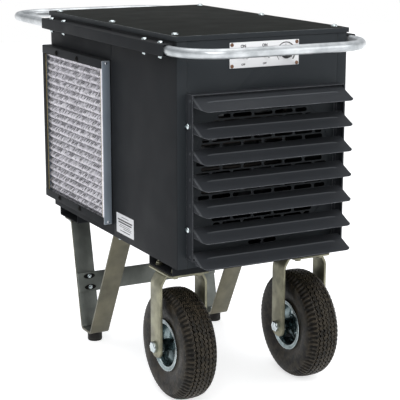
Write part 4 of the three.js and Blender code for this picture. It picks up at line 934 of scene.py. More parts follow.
tip = Matrix.Rotation(math.radians(BLADE_SLOPE), 4, "X")
for i in range(7):
    pivot = Matrix.Translation(at(0, PIVOT[0], PIVOT[1] - i * BLADE_PITCH))
    name = f"louvre_blade_{i + 1}_sheet"
    points = EAR if i < 6 else EAR_NOTCHED
    ends = ear_and_pin(-1, points) + ear_and_pin(1, points)
    each = fuse(name, [copy_of(blade, name)] + ends)
    each.data.transform(pivot @ tip)
    # The blades take the lighter copy of the paint: painted light that offsets their shade on
    # each other.
    dress(each, "blade_paint_lit", f"louvre_{i + 1}", f"louvre_blade_{i + 1}", smooth=25)
drop(blade)
print("seven blades on pins", BLADE_PITCH, "mm apart")

# %% [markdown]
# ## Louvre frame and guard
# The frame keeps its CAD shape with rounded folds. The guard behind it is punched sheet:
# one obround punch is shaped from a rod by pulling its two halves apart, copied to every
# slot, and all the punches are taken out of the plate with one Boolean.

# %% Frame
# The frame takes the blades' lighter copy of the paint: painted light.
softened("louvre_frame", "louvre_frame_box", "blade_paint_lit", 0.0005)

# %% Guard with obround slots
OUTLET_Z = 542
SLOT_ROWS = 13
SLOT_PITCH, ROW_PITCH = 53, 12.7
SLOT_LONG, SLOT_HIGH = 47.4, 10.2
OPENING_X, OPENING_RADIUS = 168, 174
low, high = BOX["outlet_guard"]
guard = block("outlet_guard_slotted", low, high)
half = SLOT_HIGH / 2
punch = rod("punch", half * MM, (0, low.y - 0.002, 0), (0, high.y + 0.002, 0), 16)
tools = []
for row in range(-SLOT_ROWS, SLOT_ROWS + 1):
    chord_square = OPENING_RADIUS ** 2 - (abs(row) * ROW_PITCH + half) ** 2
    limit = min(math.sqrt(max(chord_square, 0)), OPENING_X)
    for step in range(9):
        x = (step - 4 + (0.5 if row % 2 else 0)) * SLOT_PITCH
        left, right = max(x - SLOT_LONG / 2, -limit), min(x + SLOT_LONG / 2, limit)
        if right - left < SLOT_HIGH + 0.5:
            continue
        tool = copy_of(punch, "punch_copy")
        for vert in tool.data.vertices:
            vert.co.x += (left + half if vert.co.x < 0 else right - half) * MM
            vert.co.z += (OUTLET_Z + row * ROW_PITCH) * MM
        tools.append(tool)
drop(punch)
print("slots:", len(tools))
cut_away(guard, fuse("punches", tools))
# The guard takes the lighter copy of the paint: painted light in the blades' shade.
dress(guard, "front_paint_lit", "cabinet", "outlet_guard")
print("guard faces:", len(guard.data.polygons))

# %% [markdown]
# ## Tube handles and their rails
# Each handle is one length of 7/8 inch tube, bent twice. A ring is extruded for every
# straight run and spun for every bend, then Solidify gives the tube its wall. The rails
# that hold the tubes are folded channels along the top of both sides.

# %% Bent rods and tubes
def bent(name, radius, start, heading, moves, sides=32, wall=0):
    """A ring drawn along: a vector is a straight run, (centre, axis) a quarter bend."""
    rest()
    bpy.ops.mesh.primitive_circle_add(
        vertices=sides, radius=radius, location=start,
        rotation=Vector(heading).to_track_quat("Z", "Y").to_euler(),
        fill_type="NOTHING" if wall else "NGON")
    piece = named(bpy.context.object, name)
    fix_place()
    choose(piece, "verts" if wall else "faces")
    for move in moves:
        if isinstance(move, Vector):
            bpy.ops.mesh.extrude_region_move(TRANSFORM_OT_translate={"value": move})
        else:
            bpy.ops.mesh.spin(steps=18, angle=math.pi / 2, center=move[0], axis=move[1])
    clean(piece)
    if wall:
        thicken(piece, wall, -1)
    return piece


# %% Handle tubes
TUBE_RADIUS, TUBE_WALL, TUBE_BEND = 11.1, 2, 98
TUBE_END = 208
RAIL_X, RAIL_Z = 230.3, 818
for word, way, reach in (("front", -1, -464), ("rear", 1, 643)):
    bend_y = reach - way * TUBE_BEND
    run = Vector((0, bend_y - way * TUBE_END, 0)) * MM
    across = Vector((2 * (RAIL_X - TUBE_BEND), 0, 0)) * MM
    left, right = [(at(side * (RAIL_X - TUBE_BEND), bend_y, RAIL_Z), (0, 0, way))
                   for side, _ in SIDES]
    tube = bent(f"{word}_handle_tube", TUBE_RADIUS * MM, at(-RAIL_X, way * TUBE_END, RAIL_Z),
                (0, way, 0), [run, left, across, right, -run], wall=TUBE_WALL * MM)
    dress(tube, "bright_tube", "cabinet", f"{word}_handle", smooth=40)
    print(word, "handle", [round(v, 3) for v in tube.dimensions])

# %% Handle rails
RAIL_LOW, RAIL_HIGH, RAIL_SHEET = 805.8, 830.2, 1.6
RAIL_BOLT_X = 230
for side, word in SIDES:
    inner, outer = side * 216.3, side * 243.5
    bends = ((inner, RAIL_LOW), (outer, RAIL_LOW), (outer, RAIL_HIGH), (inner, RAIL_HIGH))
    rail = folded_strip(f"{word}_handle_channel", [at(x, -353, z) for x, z in bends],
                        (0, 0.706, 0), RAIL_SHEET * MM, 0.0022)
    dress(rail, "black_paint", "cabinet", f"{word}_handle_rail")
print("rails folded")

# %% [markdown]
# ## Filter rails
# Two folded channels and a stop at the back hold the filter. Each is drawn as seen from
# its end and swept along the cabinet's side.

# %% Filter rails and stop
RAIL_IN, RAIL_OUT = -217.05, -240.75
CHANNEL_SHEET, CHANNEL_BEND = 0.0015, 0.0012
for word, shelf, lip in (("upper", 761.25, 742), ("lower", 363.75, 383)):
    bends = ((RAIL_IN, lip), (RAIL_IN, shelf), (RAIL_OUT, shelf), (RAIL_OUT, lip))
    rail = folded_strip(f"filter_rail_{word}_fold", [at(x, -18, z) for x, z in bends],
                        (0, 0.379, 0), CHANNEL_SHEET, CHANNEL_BEND)
    dress(rail, "black_paint", "cabinet", f"filter_rail_{word}")
bends = ((RAIL_IN, 343), (RAIL_IN, 360.25), (RAIL_OUT, 360.25), (RAIL_OUT, 343))
rear_stop = folded_strip("filter_stop_fold", [at(x, y, 383.3) for x, y in bends],
                         (0, 0, 0.3584), CHANNEL_SHEET, CHANNEL_BEND)
dress(rear_stop, "black_paint", "cabinet", "filter_stop")
print("filter rails folded")

# %% [markdown]
# ## Filter frame
# The filter's frame is a U of aluminium sheet, cut to four lengths whose ends are
# mitred at 45 degrees. Each bar is drawn as seen from its end, swept from corner to
# corner, and cut on the mitre planes with Bisect. The outer flanges slide in the rails.
# The frame's faces that look to the left take the mesh's brighter finish.

# %% Filter frame bars
FILTER_OUT, FILTER_IN = -239.6, -218.2
FILTER_FRONT, FILTER_REAR = -19, 357
FILTER_LOW, FILTER_HIGH = 365, 760
FLANGE = 8.5
MITRE_GAP = 0.00015


def mitred_bar(name, bends, way, cuts):
    """A U-shaped bar swept along way and cut at planes of (place, outward direction)."""
    bar = outline(name, bends)
    round_points(bar, bends[1:-1], 0.0012, 3)
    sweep(bar, way)
    for spot, outward in cuts:
        outward = Vector(outward).normalized()
        choose(bar, "faces")
        bpy.ops.mesh.bisect(plane_co=spot - outward * MITRE_GAP, plane_no=outward,
                            clear_outer=True)
    rest()
    thicken(bar, 0.0009)
    bevel(bar, 0.0002, 1, 60)
    return bar


out_x, in_x = FILTER_OUT + 0.5, FILTER_IN - 0.5
bars = []
for y, away in ((FILTER_FRONT, -1), (FILTER_REAR, 1)):
    bends = [(out_x, y - FLANGE * away), (out_x, y - 0.5 * away),
             (in_x, y - 0.5 * away), (in_x, y - FLANGE * away)]
    bars.append(mitred_bar("filter_upright", [at(x, v, FILTER_LOW) for x, v in bends],
                           (0, 0, (FILTER_HIGH - FILTER_LOW) * MM),
                           [(at(0, y, FILTER_LOW), (0, -away, -1)),
                            (at(0, y, FILTER_HIGH), (0, -away, 1))]))
for z, away in ((FILTER_LOW, -1), (FILTER_HIGH, 1)):
    bends = [(out_x, z - FLANGE * away), (out_x, z - 0.5 * away),
             (in_x, z - 0.5 * away), (in_x, z - FLANGE * away)]
    bars.append(mitred_bar("filter_level", [at(x, FILTER_FRONT, v) for x, v in bends],
                           (0, (FILTER_REAR - FILTER_FRONT) * MM, 0),
                           [(at(0, FILTER_FRONT, z), (0, -1, -away)),
                            (at(0, FILTER_REAR, z), (0, 1, -away))]))
frame_bars = fuse("filter_frame_bars", bars)
dress(frame_bars, "filter_frame", "filter", "filter_frame")
paint_faces(frame_bars, "filter_mesh", lambda face: face.normal.x < -0.9)
print("filter frame", [round(v, 3) for v in frame_bars.dimensions])

# %% [markdown]
# ## Filter mesh
# The washable filter is expanded aluminium, pleated. A flat grid is poked and its square
# edges dissolved, which leaves diamonds. Each diamond is inset and pushed in, so that
# bright strands stand round small pits. Then the rows are moved in and out in pleats.
# The pits are darkened with painted shade, which stands for the dark seen through the
# open mesh: an attribute says how dark the pits are, darkest deep in a pleat, and varied
# by chance as painted light, the way crumpled foil catches the light. The chance is seeded.

# %% Diamonds
MESH_Y = (-16.0, 354.0)
MESH_Z = (369.2, 755.8)
MESH_X = (FILTER_OUT + FILTER_IN) / 2
PLEATS = 22
PLEAT_SWING = 4.6
FOLD_SHARPNESS = 0.96
STRAND, PIT_DEPTH = 0.0009, 0.0010
MESH_BORDER, BACKING_BEHIND = 0.0016, 0.0028
COLUMNS, ROWS = 52, 2 * PLEATS

low, high = at(MESH_X, MESH_Y[0], MESH_Z[0]), at(MESH_X, MESH_Y[1], MESH_Z[1])


def pleat_turn(z):
    """The angle of the pleats' wave at a height."""
    return 2 * math.pi * PLEATS * (z - low.z) / (high.z - low.z)


def inside(point):
    """True off the mesh's border."""
    return min(point.y - low.y, high.y - point.y, point.z - low.z, high.z - point.z) >= 1e-5


rest()
bpy.ops.mesh.primitive_grid_add(
    x_subdivisions=COLUMNS, y_subdivisions=ROWS, size=1, location=(low + high) / 2,
    rotation=(math.pi / 2, 0, -math.pi / 2))
strands = named(bpy.context.object, "filter_media_strands")
strands.scale = (high.y - low.y, high.z - low.z, 1)
fix_place()
choose(strands, "faces")
bpy.ops.mesh.poke()
choose(strands, "edges",
       lambda edge: (runs(edge, 1) or runs(edge, 2)) and inside(middle(edge)))
bpy.ops.mesh.dissolve_edges(use_verts=False)
choose(strands, "faces")
bpy.ops.mesh.inset(thickness=STRAND, depth=-PIT_DEPTH, use_individual=True)
rest()
print("faces:", len(strands.data.polygons), "normal", strands.data.polygons[0].normal)

# %% Painted shade in the pits
pit_shade = strands.data.attributes.new("pit_shade", "FLOAT", "POINT")
# Painted shade: darkest where the pleat lies deepest, and varied by chance.
chance = random.Random(11)
for face in strands.data.polygons:
    if face.select:
        depth = 0.52 - 0.36 * math.cos(pleat_turn(face.center.z))
        shade = min(max(depth + chance.uniform(-0.7, 0.7), 0), 1)
        for index in face.vertices:
            pit_shade.data[index].value = shade
print("diamonds:", sum(face.select for face in strands.data.polygons))

# %% Pleats
def pleat(z):
    """How far a pleat stands out at a height, in metres; the folds are a little round."""
    swing = math.asin(FOLD_SHARPNESS * math.cos(pleat_turn(z))) / math.asin(FOLD_SHARPNESS)
    return PLEAT_SWING * MM * swing


for vert in strands.data.vertices:
    vert.co.x -= pleat(vert.co.z)
choose(strands, "edges", lambda edge: edge.is_boundary)
bpy.ops.mesh.extrude_region_move(TRANSFORM_OT_translate={"value": (MESH_BORDER, 0, 0)})
rest()
dress(strands, "filter_mesh", "filter", "filter_media", smooth=None)
line = []
for step in range(4 * PLEATS + 1):
    z = low.z + (high.z - low.z) * step / (4 * PLEATS)
    line.append(Vector((low.x - pleat(z) + BACKING_BEHIND, low.y, z)))
backing = outline("filter_media_backing", line)
sweep(backing, (0, high.y - low.y, 0))
thicken(backing, 0.0012)
dress(backing, "filter_mesh", "filter")
print("mesh pleated:", PLEATS, "pleats")

# %% Seal where the mesh meets the frame
SEAL_X = FILTER_OUT + 1.6
SEAL_INSET = FLANGE + 2.2
for word, y in (("front", FILTER_FRONT + SEAL_INSET), ("rear", FILTER_REAR - SEAL_INSET)):
    seal = rod(f"filter_seal_{word}", 0.0013, at(SEAL_X, y, FILTER_LOW + 9),
               at(SEAL_X, y, FILTER_HIGH - 9), 12)
    for vert in seal.data.vertices:
        vert.co.y += (vert.co.y - at(0, y, 0).y) * 0.9
    choose(seal, "faces")
    bpy.ops.mesh.subdivide(number_cuts=3)
    rest()
    for vert in seal.data.vertices:
        vert.co.y += 0.0002 * math.sin(vert.co.z * 400)
    dress(seal, "seal_resin", "filter", smooth=60)

# %% [markdown]
# ## Controls
# A satin plate carries two toggle switches and the thermostat. Its words are only ON
# and OFF, and the dial has plain numbers and an arc. Each mark is real ink: a text or a
# thin strip turned into a mesh and laid on the plate.

# %% Control plate
CONTROL_Z = 800
PLATE_FACE = -362.5
SWITCH_X = (-54, 0)
DIAL_X = 54


def round_plate(piece):
    edge_x = BOX["control_plate"][1].x - 1e-4
    round_off(piece, "edges", lambda edge: runs(edge, 1) and abs(middle(edge).x) > edge_x,
              0.0015, 3)


softened("control_plate", "control_plate_sheet", "control_plate", 0.0002, 1, round_plate)

# %% Lettering helper
def letters(name, body, size, x, z):
    """Words laid on the plate's face, centred on (x, z)."""
    rest()
    bpy.ops.object.text_add()
    text = bpy.context.object.data
    text.body = body
    text.align_x = text.align_y = "CENTER"
    text.size = size * MM
    text.extrude = 0.00006
    text.offset = 0.05 * size * MM
    bpy.ops.object.convert(target="MESH")
    words = named(bpy.context.object, name)
    upright = Matrix.Rotation(math.pi / 2, 4, "X")
    words.data.transform(Matrix.Translation(at(x, PLATE_FACE - 0.05, z)) @ upright)
    words.matrix_world = Matrix()
    clean(words)
    dress(words, "ink", "cabinet")


def round_dial(degrees, radius):
    """A place round the dial as (x, z), with 0 degrees at the top."""
    swing = math.radians(degrees)
    return DIAL_X + radius * math.sin(swing), CONTROL_Z + radius * math.cos(swing)


for word, x in zip(("heat", "fan"), SWITCH_X):
    letters(f"{word}_switch_on_mark", "ON", 8.2, x, 819)
    letters(f"{word}_switch_off_mark", "OFF", 5.4, x, 779)
for number in range(1, 6):
    letters(f"dial_number_{number}", str(number), 4.6, *round_dial(60 * number - 180, 17.6))
print("marks laid on the plate")

# %% Dial arc
ARC_STEPS = 41
arc = []
for step in range(ARC_STEPS):
    x, z = round_dial(-130 + 6.5 * step, 23)
    arc.append(at(x, PLATE_FACE - 0.05, z))
dial_arc = outline("dial_arc", arc)
dial_arc.modifiers.new("line", "SKIN")
take(dial_arc)
for step, corner in enumerate(dial_arc.data.skin_vertices[0].data):
    thick = (0.6 + 1.0 * step / ARC_STEPS) * MM
    corner.radius = (thick, thick)
settle(dial_arc)
for vert in dial_arc.data.vertices:
    vert.co.y = min(max(vert.co.y, at(0, PLATE_FACE - 0.1, 0).y), at(0, PLATE_FACE, 0).y)
dress(dial_arc, "ink", "cabinet", smooth=None)
print("arc of", ARC_STEPS, "points")

# %% [markdown]
# ## Switches and knob
# A toggle is turned on a lathe: a ball in the bush, a thin neck and a longer bat that
# swells to a rounded end. The knob has a skirt, a fluted grip and a raised pointer.

# %% Switches
PANEL_BACK = -359.2
BUSH = [(4.4, 0), (5.8, 0), (5.8, -8.7), (5.5, -9.3), (4.7, -9.3), (4.4, -8.9), (4.4, 0)]
NUT = [(5.85, 0), (8.3, 0), (8.3, -1.9), (7.8, -2.4), (5.85, -2.4), (5.85, 0)]
BAT = [(0, 3.9), (1.5, 3.6), (2.76, 2.76), (3.6, 1.5), (3.9, 0), (3.6, -1.5), (2.76, -2.76),
       (2.1, -4.2), (1.9, -6), (2.1, -10), (2.75, -16), (2.9, -18), (2.5, -19.3),
       (1.5, -19.9), (0, -20)]
BAT_TILT = Matrix.Rotation(math.radians(13), 4, "X")
for word, x in zip(("heat", "fan"), SWITCH_X):
    case = block(f"{word}_switch_case", at(x - 8, PANEL_BACK, CONTROL_Z - 13),
                 at(x + 8, PANEL_BACK + 24, CONTROL_Z + 13))
    choose(case, "faces", lambda face: face.normal.y > 0.9)
    bpy.ops.mesh.inset(thickness=0.002, depth=-0.0005)
    rest()
    bevel(case, 0.0006)
    dress(case, "black_plastic", "cabinet", f"{word}_switch_body")
    bush = turned(f"{word}_switch_bush", BUSH, at(x, PANEL_BACK, CONTROL_Z), "y", 32)
    dress(bush, "toggle_steel", "cabinet")
    nut = turned(f"{word}_switch_nut", NUT, at(x, PLATE_FACE - 0.3, CONTROL_Z), "y", 6)
    bevel(nut, 0.0002, 1)
    dress(nut, "toggle_steel", "cabinet")
    lever = turned(f"{word}_toggle_bat", BAT, (0, 0, 0), "y", 24)
    lever.data.transform(Matrix.Translation(at(x, PLATE_FACE - 0.5, CONTROL_Z)) @ BAT_TILT)
    dress(lever, "toggle_steel", BODY_OF[f"{word}_toggle"], f"{word}_toggle", smooth=60)
print("toggles turned")

# %% Knob
KNOB = [(0, 1), (3, 1), (3, 0), (12.6, 0), (13, -0.4), (13, -2.6), (12.6, -3), (11.2, -3.4),
        (10.8, -4.4), (10.2, -11.6), (9.4, -12.7), (8.4, -13), (0, -13)]
hub = at(DIAL_X, -363.8, CONTROL_Z)
knob = turned("thermostat_knob_grip", KNOB, hub, "y", 60)


def about(face, centre):
    """A face's place from a centre, and its angle round the Y axis in degrees."""
    spot = face.calc_center_median() - centre
    return spot, math.degrees(math.atan2(spot.x, spot.z))


def fluted(face):
    spot, turn = about(face, hub)
    return -0.0115 < spot.y < -0.0045 and turn % 12 < 6


print("flutes:", choose(knob, "faces", fluted))
bpy.ops.mesh.inset(thickness=0.0002, depth=-0.0005, use_individual=True)
rest()
dress(knob, "black_plastic", BODY_OF["thermostat_knob"], "thermostat_knob", smooth=30)
pointer = block("knob_pointer", at(DIAL_X - 0.9, -378, CONTROL_Z + 1),
                at(DIAL_X + 0.9, -376.7, CONTROL_Z + 9))
bevel(pointer, 0.0003)
dress(pointer, "label_white", BODY_OF["thermostat_knob"])
softened("thermostat_body", "thermostat_case", "galvanised", 0.0006)

# %% [markdown]
# ## Inside the cabinet
# Behind the guard are three hairpin elements, the bulkhead with the fan, and the motor
# on its strap. They show only as dark shapes between the blades, but the louvre turns
# and the filter slides out, so they are whole. Screws and straps are standard stock.

# %% Heating elements
ELEMENT_START, ELEMENT_END, ELEMENT_Y = -207, 150, -170
ELEMENT_PITCH, HAIRPIN_HALF = 116, 30
for i in range(3):
    z = OUTLET_Z + (i - 1) * ELEMENT_PITCH
    run = Vector((ELEMENT_END - ELEMENT_START, 0, 0)) * MM
    bend = (at(ELEMENT_END, ELEMENT_Y, z), (0, -1, 0))
    hairpin = bent(f"heating_element_{i + 1}_sheath", 0.006,
                   at(ELEMENT_START, ELEMENT_Y, z + HAIRPIN_HALF), (1, 0, 0),
                   [run, bend, bend, -run], sides=16)
    dress(hairpin, "element_steel", "cabinet", f"heating_element_{i + 1}", smooth=50)
print("elements bent")

# %% Fan, motor and strap
softened("fan_blades", "fan_blades_and_hub", "galvanised")
MOTOR = [(0, 20), (6.7, 20), (6.7, 0), (21, 0), (24, 1.5), (26, 7), (40, 9), (54, 12),
         (62, 15), (65, 20), (66, 24), (66, 30), (64.5, 31), (64.5, 33), (66, 34), (66, 84),
         (64.5, 85), (64.5, 87), (66, 88), (66, 96), (64, 101), (58, 107), (50, 110.5),
         (30, 112), (0, 112)]
motor_front = at(0, 22, OUTLET_Z)
motor = turned("fan_motor_shell", MOTOR, motor_front, "y", 56)


def vent(face):
    spot, turn = about(face, motor_front)
    return 0.104 < spot.y < 0.1112 and spot.xz.length > 0.048 and turn % 45 < 26


print("vents:", choose(motor, "faces", vent))
bpy.ops.mesh.inset(thickness=0.0012, depth=-0.003)
rest()
dress(motor, "motor_paint", "cabinet", "fan_motor", smooth=30)
WALL_Y, STRAP_Y = -31.2, 136.3
bends = ((WALL_Y, 199), (WALL_Y, 186), (STRAP_Y, 186), (STRAP_Y, -186), (WALL_Y, -186),
         (WALL_Y, -199))
strap = folded_strip("motor_strap", [at(-20, y, OUTLET_Z + rise) for y, rise in bends],
                     (0.040, 0, 0), 0.004, 0.005)
dress(strap, "galvanised", "cabinet", "motor_bracket")
print("motor on its strap")

# %% Wiring parts
for node in ("contactor", "terminal_block"):
    softened(node, f"{node}_case", "black_plastic", 0.0006)
softened("overheat_cutout", "overheat_cutout_case", "galvanised", 0.0003)
softened("cable_gland", "cable_gland_body", "black_plastic", 0.0006)

# %% [markdown]
# ## Undercarriage
# Two folded channels cross under the cabinet. The casters bolt to the front one, and
# the V legs of flat bar to the rear one. Flat bar bends with a wider radius than sheet,
# and a yoke's lower ends are cut round about the axle.

# %% Cross channels
CHANNEL_LOW, CHANNEL_HIGH, CHANNEL_BAR = 310.95, 334.45, 2.5
FRONT_CHANNEL_Y, REAR_CHANNEL_Y = -262, 286
CHANNEL_BENDS = ((-40.75, CHANNEL_HIGH), (-58.75, CHANNEL_HIGH), (-58.75, CHANNEL_LOW),
                 (58.75, CHANNEL_LOW), (58.75, CHANNEL_HIGH), (40.75, CHANNEL_HIGH))
for word, middle_y in (("front", FRONT_CHANNEL_Y), ("rear", REAR_CHANNEL_Y)):
    channel = folded_strip(f"{word}_cross_channel",
                           [at(-208, middle_y + y, z) for y, z in CHANNEL_BENDS],
                           (0.416, 0, 0), CHANNEL_BAR * MM, 0.003)
    dress(channel, "black_paint", "cabinet", f"{word}_channel")
print("channels folded")

# %% Caster brackets
WHEEL_X, WHEEL_Z = 162, 130
YOKE_OUT, YOKE_TOP = 57, 43
PLATE_LOW, PLATE_HIGH = 305.4, 309.4
PLATE_HALF_X, PLATE_HALF_Y = 51, 57
BAR_HALF = 25.4
WELD_RADIUS, WELD_HALF, WELD_RIPPLE = 0.0028, 38, 0.00035
SHOULDER, CROWN_Z, YOKE_END = PLATE_LOW - 26, PLATE_LOW - 2.6, WHEEL_Z - BAR_HALF
YOKE_BENDS = ((-YOKE_OUT, YOKE_END), (-YOKE_OUT, SHOULDER), (-YOKE_TOP, CROWN_Z),
              (YOKE_TOP, CROWN_Z), (YOKE_OUT, SHOULDER), (YOKE_OUT, YOKE_END))
for side, word in SIDES:
    x, y = side * WHEEL_X, FRONT_CHANNEL_Y
    plate = block("caster_plate", at(x - PLATE_HALF_X, y - PLATE_HALF_Y, PLATE_LOW),
                  at(x + PLATE_HALF_X, y + PLATE_HALF_Y, PLATE_HIGH))
    round_off(plate, "edges", lambda edge: runs(edge, 2), 0.007, 5)
    bevel(plate, 0.0005)
    yoke = folded_strip("yoke", [at(x + out, y - BAR_HALF, z) for out, z in YOKE_BENDS],
                        (0, 2 * BAR_HALF * MM, 0), 0.006, 0.007, 0.0006, corner=0.0225)
    welds = []
    for weld_y in (y - BAR_HALF, y + BAR_HALF):
        weld = rod("weld", WELD_RADIUS, at(x - WELD_HALF, weld_y, PLATE_LOW - 0.3),
                   at(x + WELD_HALF, weld_y, PLATE_LOW - 0.3), 10)
        choose(weld, "faces")
        bpy.ops.mesh.subdivide(number_cuts=9)
        rest()
        for vert in weld.data.vertices:
            vert.co.z -= WELD_RIPPLE * math.sin(vert.co.x / 0.0011)
        welds.append(weld)
    bracket = fuse(f"{word}_caster_yoke", [plate, yoke] + welds)
    dress(bracket, "zinc_plate", "cabinet", f"{word}_caster_bracket", smooth=40)
print("yokes folded and welded to their plates")

# %% V legs
LEG_X, FOOT_Y = 177, 198.5
LEG_BAR = 6.35
LEG_LOW, LEG_FRONT_HIGH, LEG_REAR_HIGH = 27.975, 332.525, 306.225
LEG_BENDS = ((-34, LEG_FRONT_HIGH), (8, LEG_FRONT_HIGH), (171, LEG_LOW), (226, LEG_LOW),
             (286, LEG_REAR_HIGH), (328, LEG_REAR_HIGH))


def inner_face(face):
    """True on the side of the bar that looks into the V."""
    into_v = at(0, FOOT_Y, 180) - face.calc_center_median()
    into_v.x = 0
    return face.normal.dot(into_v.normalized()) > 0.3 and abs(face.normal.x) < 0.5


for side, word in SIDES:
    x = side * LEG_X - BAR_HALF
    leg = folded_strip(f"{word}_leg_bar", [at(x, y, z) for y, z in LEG_BENDS],
                       (2 * BAR_HALF * MM, 0, 0), LEG_BAR * MM, 0.007, 0.0006, corner=0.002)
    dress(leg, "bar_steel", "cabinet", f"{word}_leg", smooth=40)
    # Faces that look into the V take the bluer copy of the finish: painted shade.
    paint_faces(leg, "bar_steel_shade_side", inner_face)
print("legs bent")

# %% Cross bar and feet
# The cross bar takes the same bluer copy: painted shade.
softened("leg_cross_bar", "leg_cross_bar_flat", "bar_steel_shade_side", 0.0008)
FOOT = [(0, 0), (15.5, 0), (17.8, 0.8), (18.8, 3), (19, 6), (18.7, 14), (19, 20), (19, 23.5),
        (18, 24.5), (8, 24.5), (7.6, 23.9), (0, 23.9)]
for side, word in SIDES:
    foot = turned(f"{word}_foot_bumper", FOOT, at(side * LEG_X, FOOT_Y, 0), "z", 40)
    dress(foot, "foot_rubber", "cabinet", f"{word}_foot", smooth=40)
print("feet turned")

# %% [markdown]
# ## Pneumatic tyres
# A tyre is modelled as a flat strip, as its tread rubber is, and then wrapped round.
# Along the strip the rows follow the section, from one bead over the tread to the other.
# On the tread the rows come in fours, rib edge, groove floor, groove floor, rib edge, and
# all of them zigzag together. Shoulder lugs and sidewall fins use the same steps.

# %% Tyre section
TEETH = 68
STEPS = 4 * TEETH
GROOVE_DEPTH = 6.0
GROOVES = (-20.4, -10.2, 0, 10.2, 20.4)
RIB_EDGE = 25.6
CROWN = ((0, 130), (8, 129.8), (16, 128.9), (23, 127.2), (29, 124.4))
SIDE = ((33.2, 121.2), (36.6, 117), (39.2, 111.5), (40.6, 105), (41, 97.5), (40.2, 89),
        (38.8, 81.5), (36.9, 74.5), (35.2, 69), (34.3, 64.5), (34.9, 62.6))


def crown_radius(across):
    """Radius of the tread at a distance from its middle."""
    across = abs(across)
    for (a0, r0), (a1, r1) in zip(CROWN, CROWN[1:]):
        if across <= a1:
            return r0 + (r1 - r0) * (across - a0) / (a1 - a0)
    return CROWN[-1][1]


ROWS_ACROSS = [(-across, radius, "side") for across, radius in reversed(SIDE)]
for across, kind in ((-29, "lug"), (-RIB_EDGE, "rib")):
    ROWS_ACROSS.append((across, crown_radius(across), kind))
for groove in GROOVES:
    for offset, drop_by in ((-2.1, 0), (-1.4, GROOVE_DEPTH), (1.4, GROOVE_DEPTH), (2.1, 0)):
        across = groove + offset
        ROWS_ACROSS.append((across, crown_radius(across) - drop_by, "tread"))
for across, kind in ((RIB_EDGE, "rib"), (29, "lug")):
    ROWS_ACROSS.append((across, crown_radius(across), kind))
ROWS_ACROSS += [(across, radius, "side") for across, radius in SIDE]
print("tyre rows:", len(ROWS_ACROSS), "steps round:", STEPS)

# %% Wrap the strip
ZIGZAG = (-1.0, 0.2, 1.0, -0.2)


def tyre_point(across, radius, kind, step):
    """Where a row's vertex lies at one step round the tyre, in millimetres."""
    phase = step % 4
    if kind == "tread":
        across += 2.3 * ZIGZAG[phase]
    if kind == "lug" and phase in (0, 1):
        radius -= 3.4
        across -= math.copysign(1.2, across)
    if kind == "side" and 115 < radius < 122 and phase in (0, 1):
        radius -= 1.8
        across -= math.copysign(2.2, across)
    if kind == "side" and 88 < radius < 106 and step % 2:
        across -= math.copysign(0.55, across)
    turn = 2 * math.pi * step / STEPS
    return Vector((across, radius * math.sin(turn), radius * math.cos(turn))) * MM


rest()
LAST_ROW = len(ROWS_ACROSS) - 1
bpy.ops.mesh.primitive_grid_add(x_subdivisions=STEPS, y_subdivisions=LAST_ROW, size=1)
tyre = named(bpy.context.object, "tyre")
for vert in tyre.data.vertices:
    row = round((vert.co.y + 0.5) * LAST_ROW)
    vert.co = tyre_point(*ROWS_ACROSS[row], round((vert.co.x + 0.5) * STEPS))
print("tyre wrapped:", len(tyre.data.vertices), "verts")

# %% Painted shade in the grooves, sipes and lug gaps, and the casing's inside
# Painted shade: grooves darkest, sipes and the gaps between shoulder lugs a little less.
dark = tyre.data.attributes.new("groove", "FLOAT", "POINT")
for vert in tyre.data.vertices:
    step = round(math.atan2(vert.co.y, vert.co.z) / (2 * math.pi) * STEPS) % 4
    out = math.hypot(vert.co.y, vert.co.z) / MM
    across = abs(vert.co.x) / MM
    in_groove = across < 25 and out < crown_radius(across) - 2.5
    sipe = across < RIB_EDGE and step == (0 if vert.co.x > 0 else 2)
    lug_gap = RIB_EDGE < across < 39 and out > 113 and step in (0, 1)
    dark.data[vert.index].value = 1.0 if in_groove else 0.75 if sipe or lug_gap else 0.0
clean(tyre)
choose(tyre, "edges", lambda edge: edge.is_boundary)
bpy.ops.mesh.extrude_region_move()
bpy.ops.transform.resize(value=(0.72, 0.86, 0.86), center_override=(0, 0, 0))
bpy.ops.mesh.bridge_edge_loops()
clean(tyre)
for side, word in SIDES:
    home = Matrix.Translation(at(side * WHEEL_X, FRONT_CHANNEL_Y, WHEEL_Z))
    each = copy_of(tyre, f"{word}_tyre_casing", home)
    dress(each, "tyre_rubber", f"{word}_wheel", f"{word}_tyre", smooth=32)
drop(tyre)
print("tyre faces:", len(each.data.polygons))

# %% [markdown]
# ## Rims
# The split rim is pressed steel, bright zinc. Its section is drawn on one side, mirrored,
# and spun: a rolled flange, the drum, a stepped disc and the hub. Hand holes go through
# the disc with a Boolean, and four bolts hold the two halves together.

# %% Rim section
BOLT_CIRCLE, HAND_HOLE, DISC_HALF = 28, 6.5, 4.6
HALF_RIM = [(8.6, 46), (14, 46), (15, 45), (15, 9), (17, 6.4), (24, 5.2), (33, 4.4),
            (38, 5.0), (42, 7.4), (46, 11.2), (48.4, 16), (49, 22), (49, 33.2), (50.4, 36.2),
            (53.4, 37.3), (57.6, 37.5), (60.2, 38), (61, 37.2), (60.9, 35.6), (59.4, 35),
            (55, 34.6), (52.6, 33), (52, 30)]


def round_hub(degrees, x):
    """A place on the bolt circle, x millimetres from the disc."""
    swing = math.radians(degrees)
    return Vector((x, BOLT_CIRCLE * math.sin(swing), BOLT_CIRCLE * math.cos(swing))) * MM


section = HALF_RIM + [(r, -a) for r, a in reversed(HALF_RIM)] + [HALF_RIM[0]]
rim = turned("rim", section, (0, 0, 0), "x", 72)
holes = [rod("hand_hole", HAND_HOLE * MM, round_hub(turn, -12), round_hub(turn, 12), 20)
         for turn in (20, 110, 200, 290)]
cut_away(rim, fuse("hand_holes", holes))
print("rim faces:", len(rim.data.polygons))

